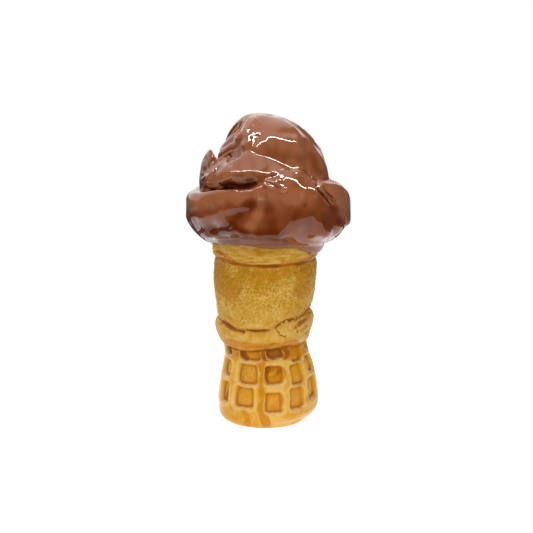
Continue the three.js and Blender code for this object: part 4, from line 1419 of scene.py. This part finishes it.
class StageSettings(bpy.types.PropertyGroup):
    floor_colour: colour_setting("Floor", "Colour of the floor", (0.45, 0.45, 0.45))
    floor_glow: number_setting("Floor glow", "Light that comes through the floor", 0.95)
    floor_front: length_setting("Floor front", "How far the floor reaches in front of the object", 0.2)
    floor_back: length_setting("Floor back", "How far the floor's right edge reaches behind", 0.3)
    floor_back_left: length_setting("Floor back left", "How far the floor's left edge reaches behind", 0.125)
    floor_side: length_setting("Floor side", "How far the floor reaches to each side of the object", 0.25)
    air: number_setting("Air", "Light from the white backdrop", 1.3)
    side_air: number_setting("Side air", "Light from the sides of the room", 0.08)
    dark_front: number_setting("Dark front", "Light from the dark side of the room", 0.01)
    backdrop: number_setting("Backdrop", "Brightness of the backdrop in the picture", 1.0)
    strip_power: power_setting("Strip", "Power of the strip light in front", 25)
    fill_power: power_setting("Fill", "Power of the broad soft light", 20)
    lens: bpy.props.FloatProperty(name="Lens", description="Focal length", default=85, min=1, unit="CAMERA")


class ConeScoopOperator(bpy.types.Operator):
    """Builds the glazed chocolate scoop"""

    bl_idname = "mesh.stoneware_cone_scoop"
    bl_label = "Glazed Scoop"

    def execute(self, context):
        settings = context.scene.cone_scoop
        finish_piece(build_scoop(settings), chocolate_glaze(settings), SCOOP_NODE)
        return {"FINISHED"}


class ConeCupOperator(bpy.types.Operator):
    """Builds the glazed wafer cup with its lattice and collar"""

    bl_idname = "mesh.stoneware_cone_cup"
    bl_label = "Glazed Wafer Cup"

    def execute(self, context):
        settings = context.scene.cone_cup
        finish_piece(build_cup(settings), honey_glaze(settings), CUP_NODE)
        return {"FINISHED"}


class ConeStageOperator(bpy.types.Operator):
    """Builds the floor, the lights and the camera"""

    bl_idname = "scene.stoneware_cone_stage"
    bl_label = "Studio"

    def execute(self, context):
        build_stage(context.scene.cone_stage)
        return {"FINISHED"}


class ConePanel(bpy.types.Panel):
    """Lists the pieces of the cone"""

    bl_idname = "VIEW3D_PT_stoneware_cone"
    bl_label = "Stoneware Cone"
    bl_space_type = "VIEW_3D"
    bl_region_type = "UI"
    bl_category = "Stoneware Cone"

    def draw(self, context):
        for operator, group in OPERATORS:
            self.layout.operator(operator.bl_idname)
            settings = getattr(context.scene, group)
            for name in settings.__annotations__:
                self.layout.prop(settings, name)


OPERATORS = [
    (ConeStageOperator, "cone_stage"),
    (ConeCupOperator, "cone_cup"),
    (ConeScoopOperator, "cone_scoop"),
]
GROUPS = {"cone_stage": StageSettings, "cone_cup": CupSettings, "cone_scoop": ScoopSettings}
CLASSES = [*GROUPS.values(), *(operator for operator, _ in OPERATORS), ConePanel]


def register():
    for cls in CLASSES:
        bpy.utils.register_class(cls)
    for name, group in GROUPS.items():
        setattr(bpy.types.Scene, name, bpy.props.PointerProperty(type=group))


def unregister():
    for name in GROUPS:
        delattr(bpy.types.Scene, name)
    for cls in reversed(CLASSES):
        bpy.utils.unregister_class(cls)


def main():
    register()
    bpy.ops.scene.stoneware_cone_stage()
    bpy.ops.mesh.stoneware_cone_cup()
    bpy.ops.mesh.stoneware_cone_scoop()


if __name__ == "__main__":
    main()
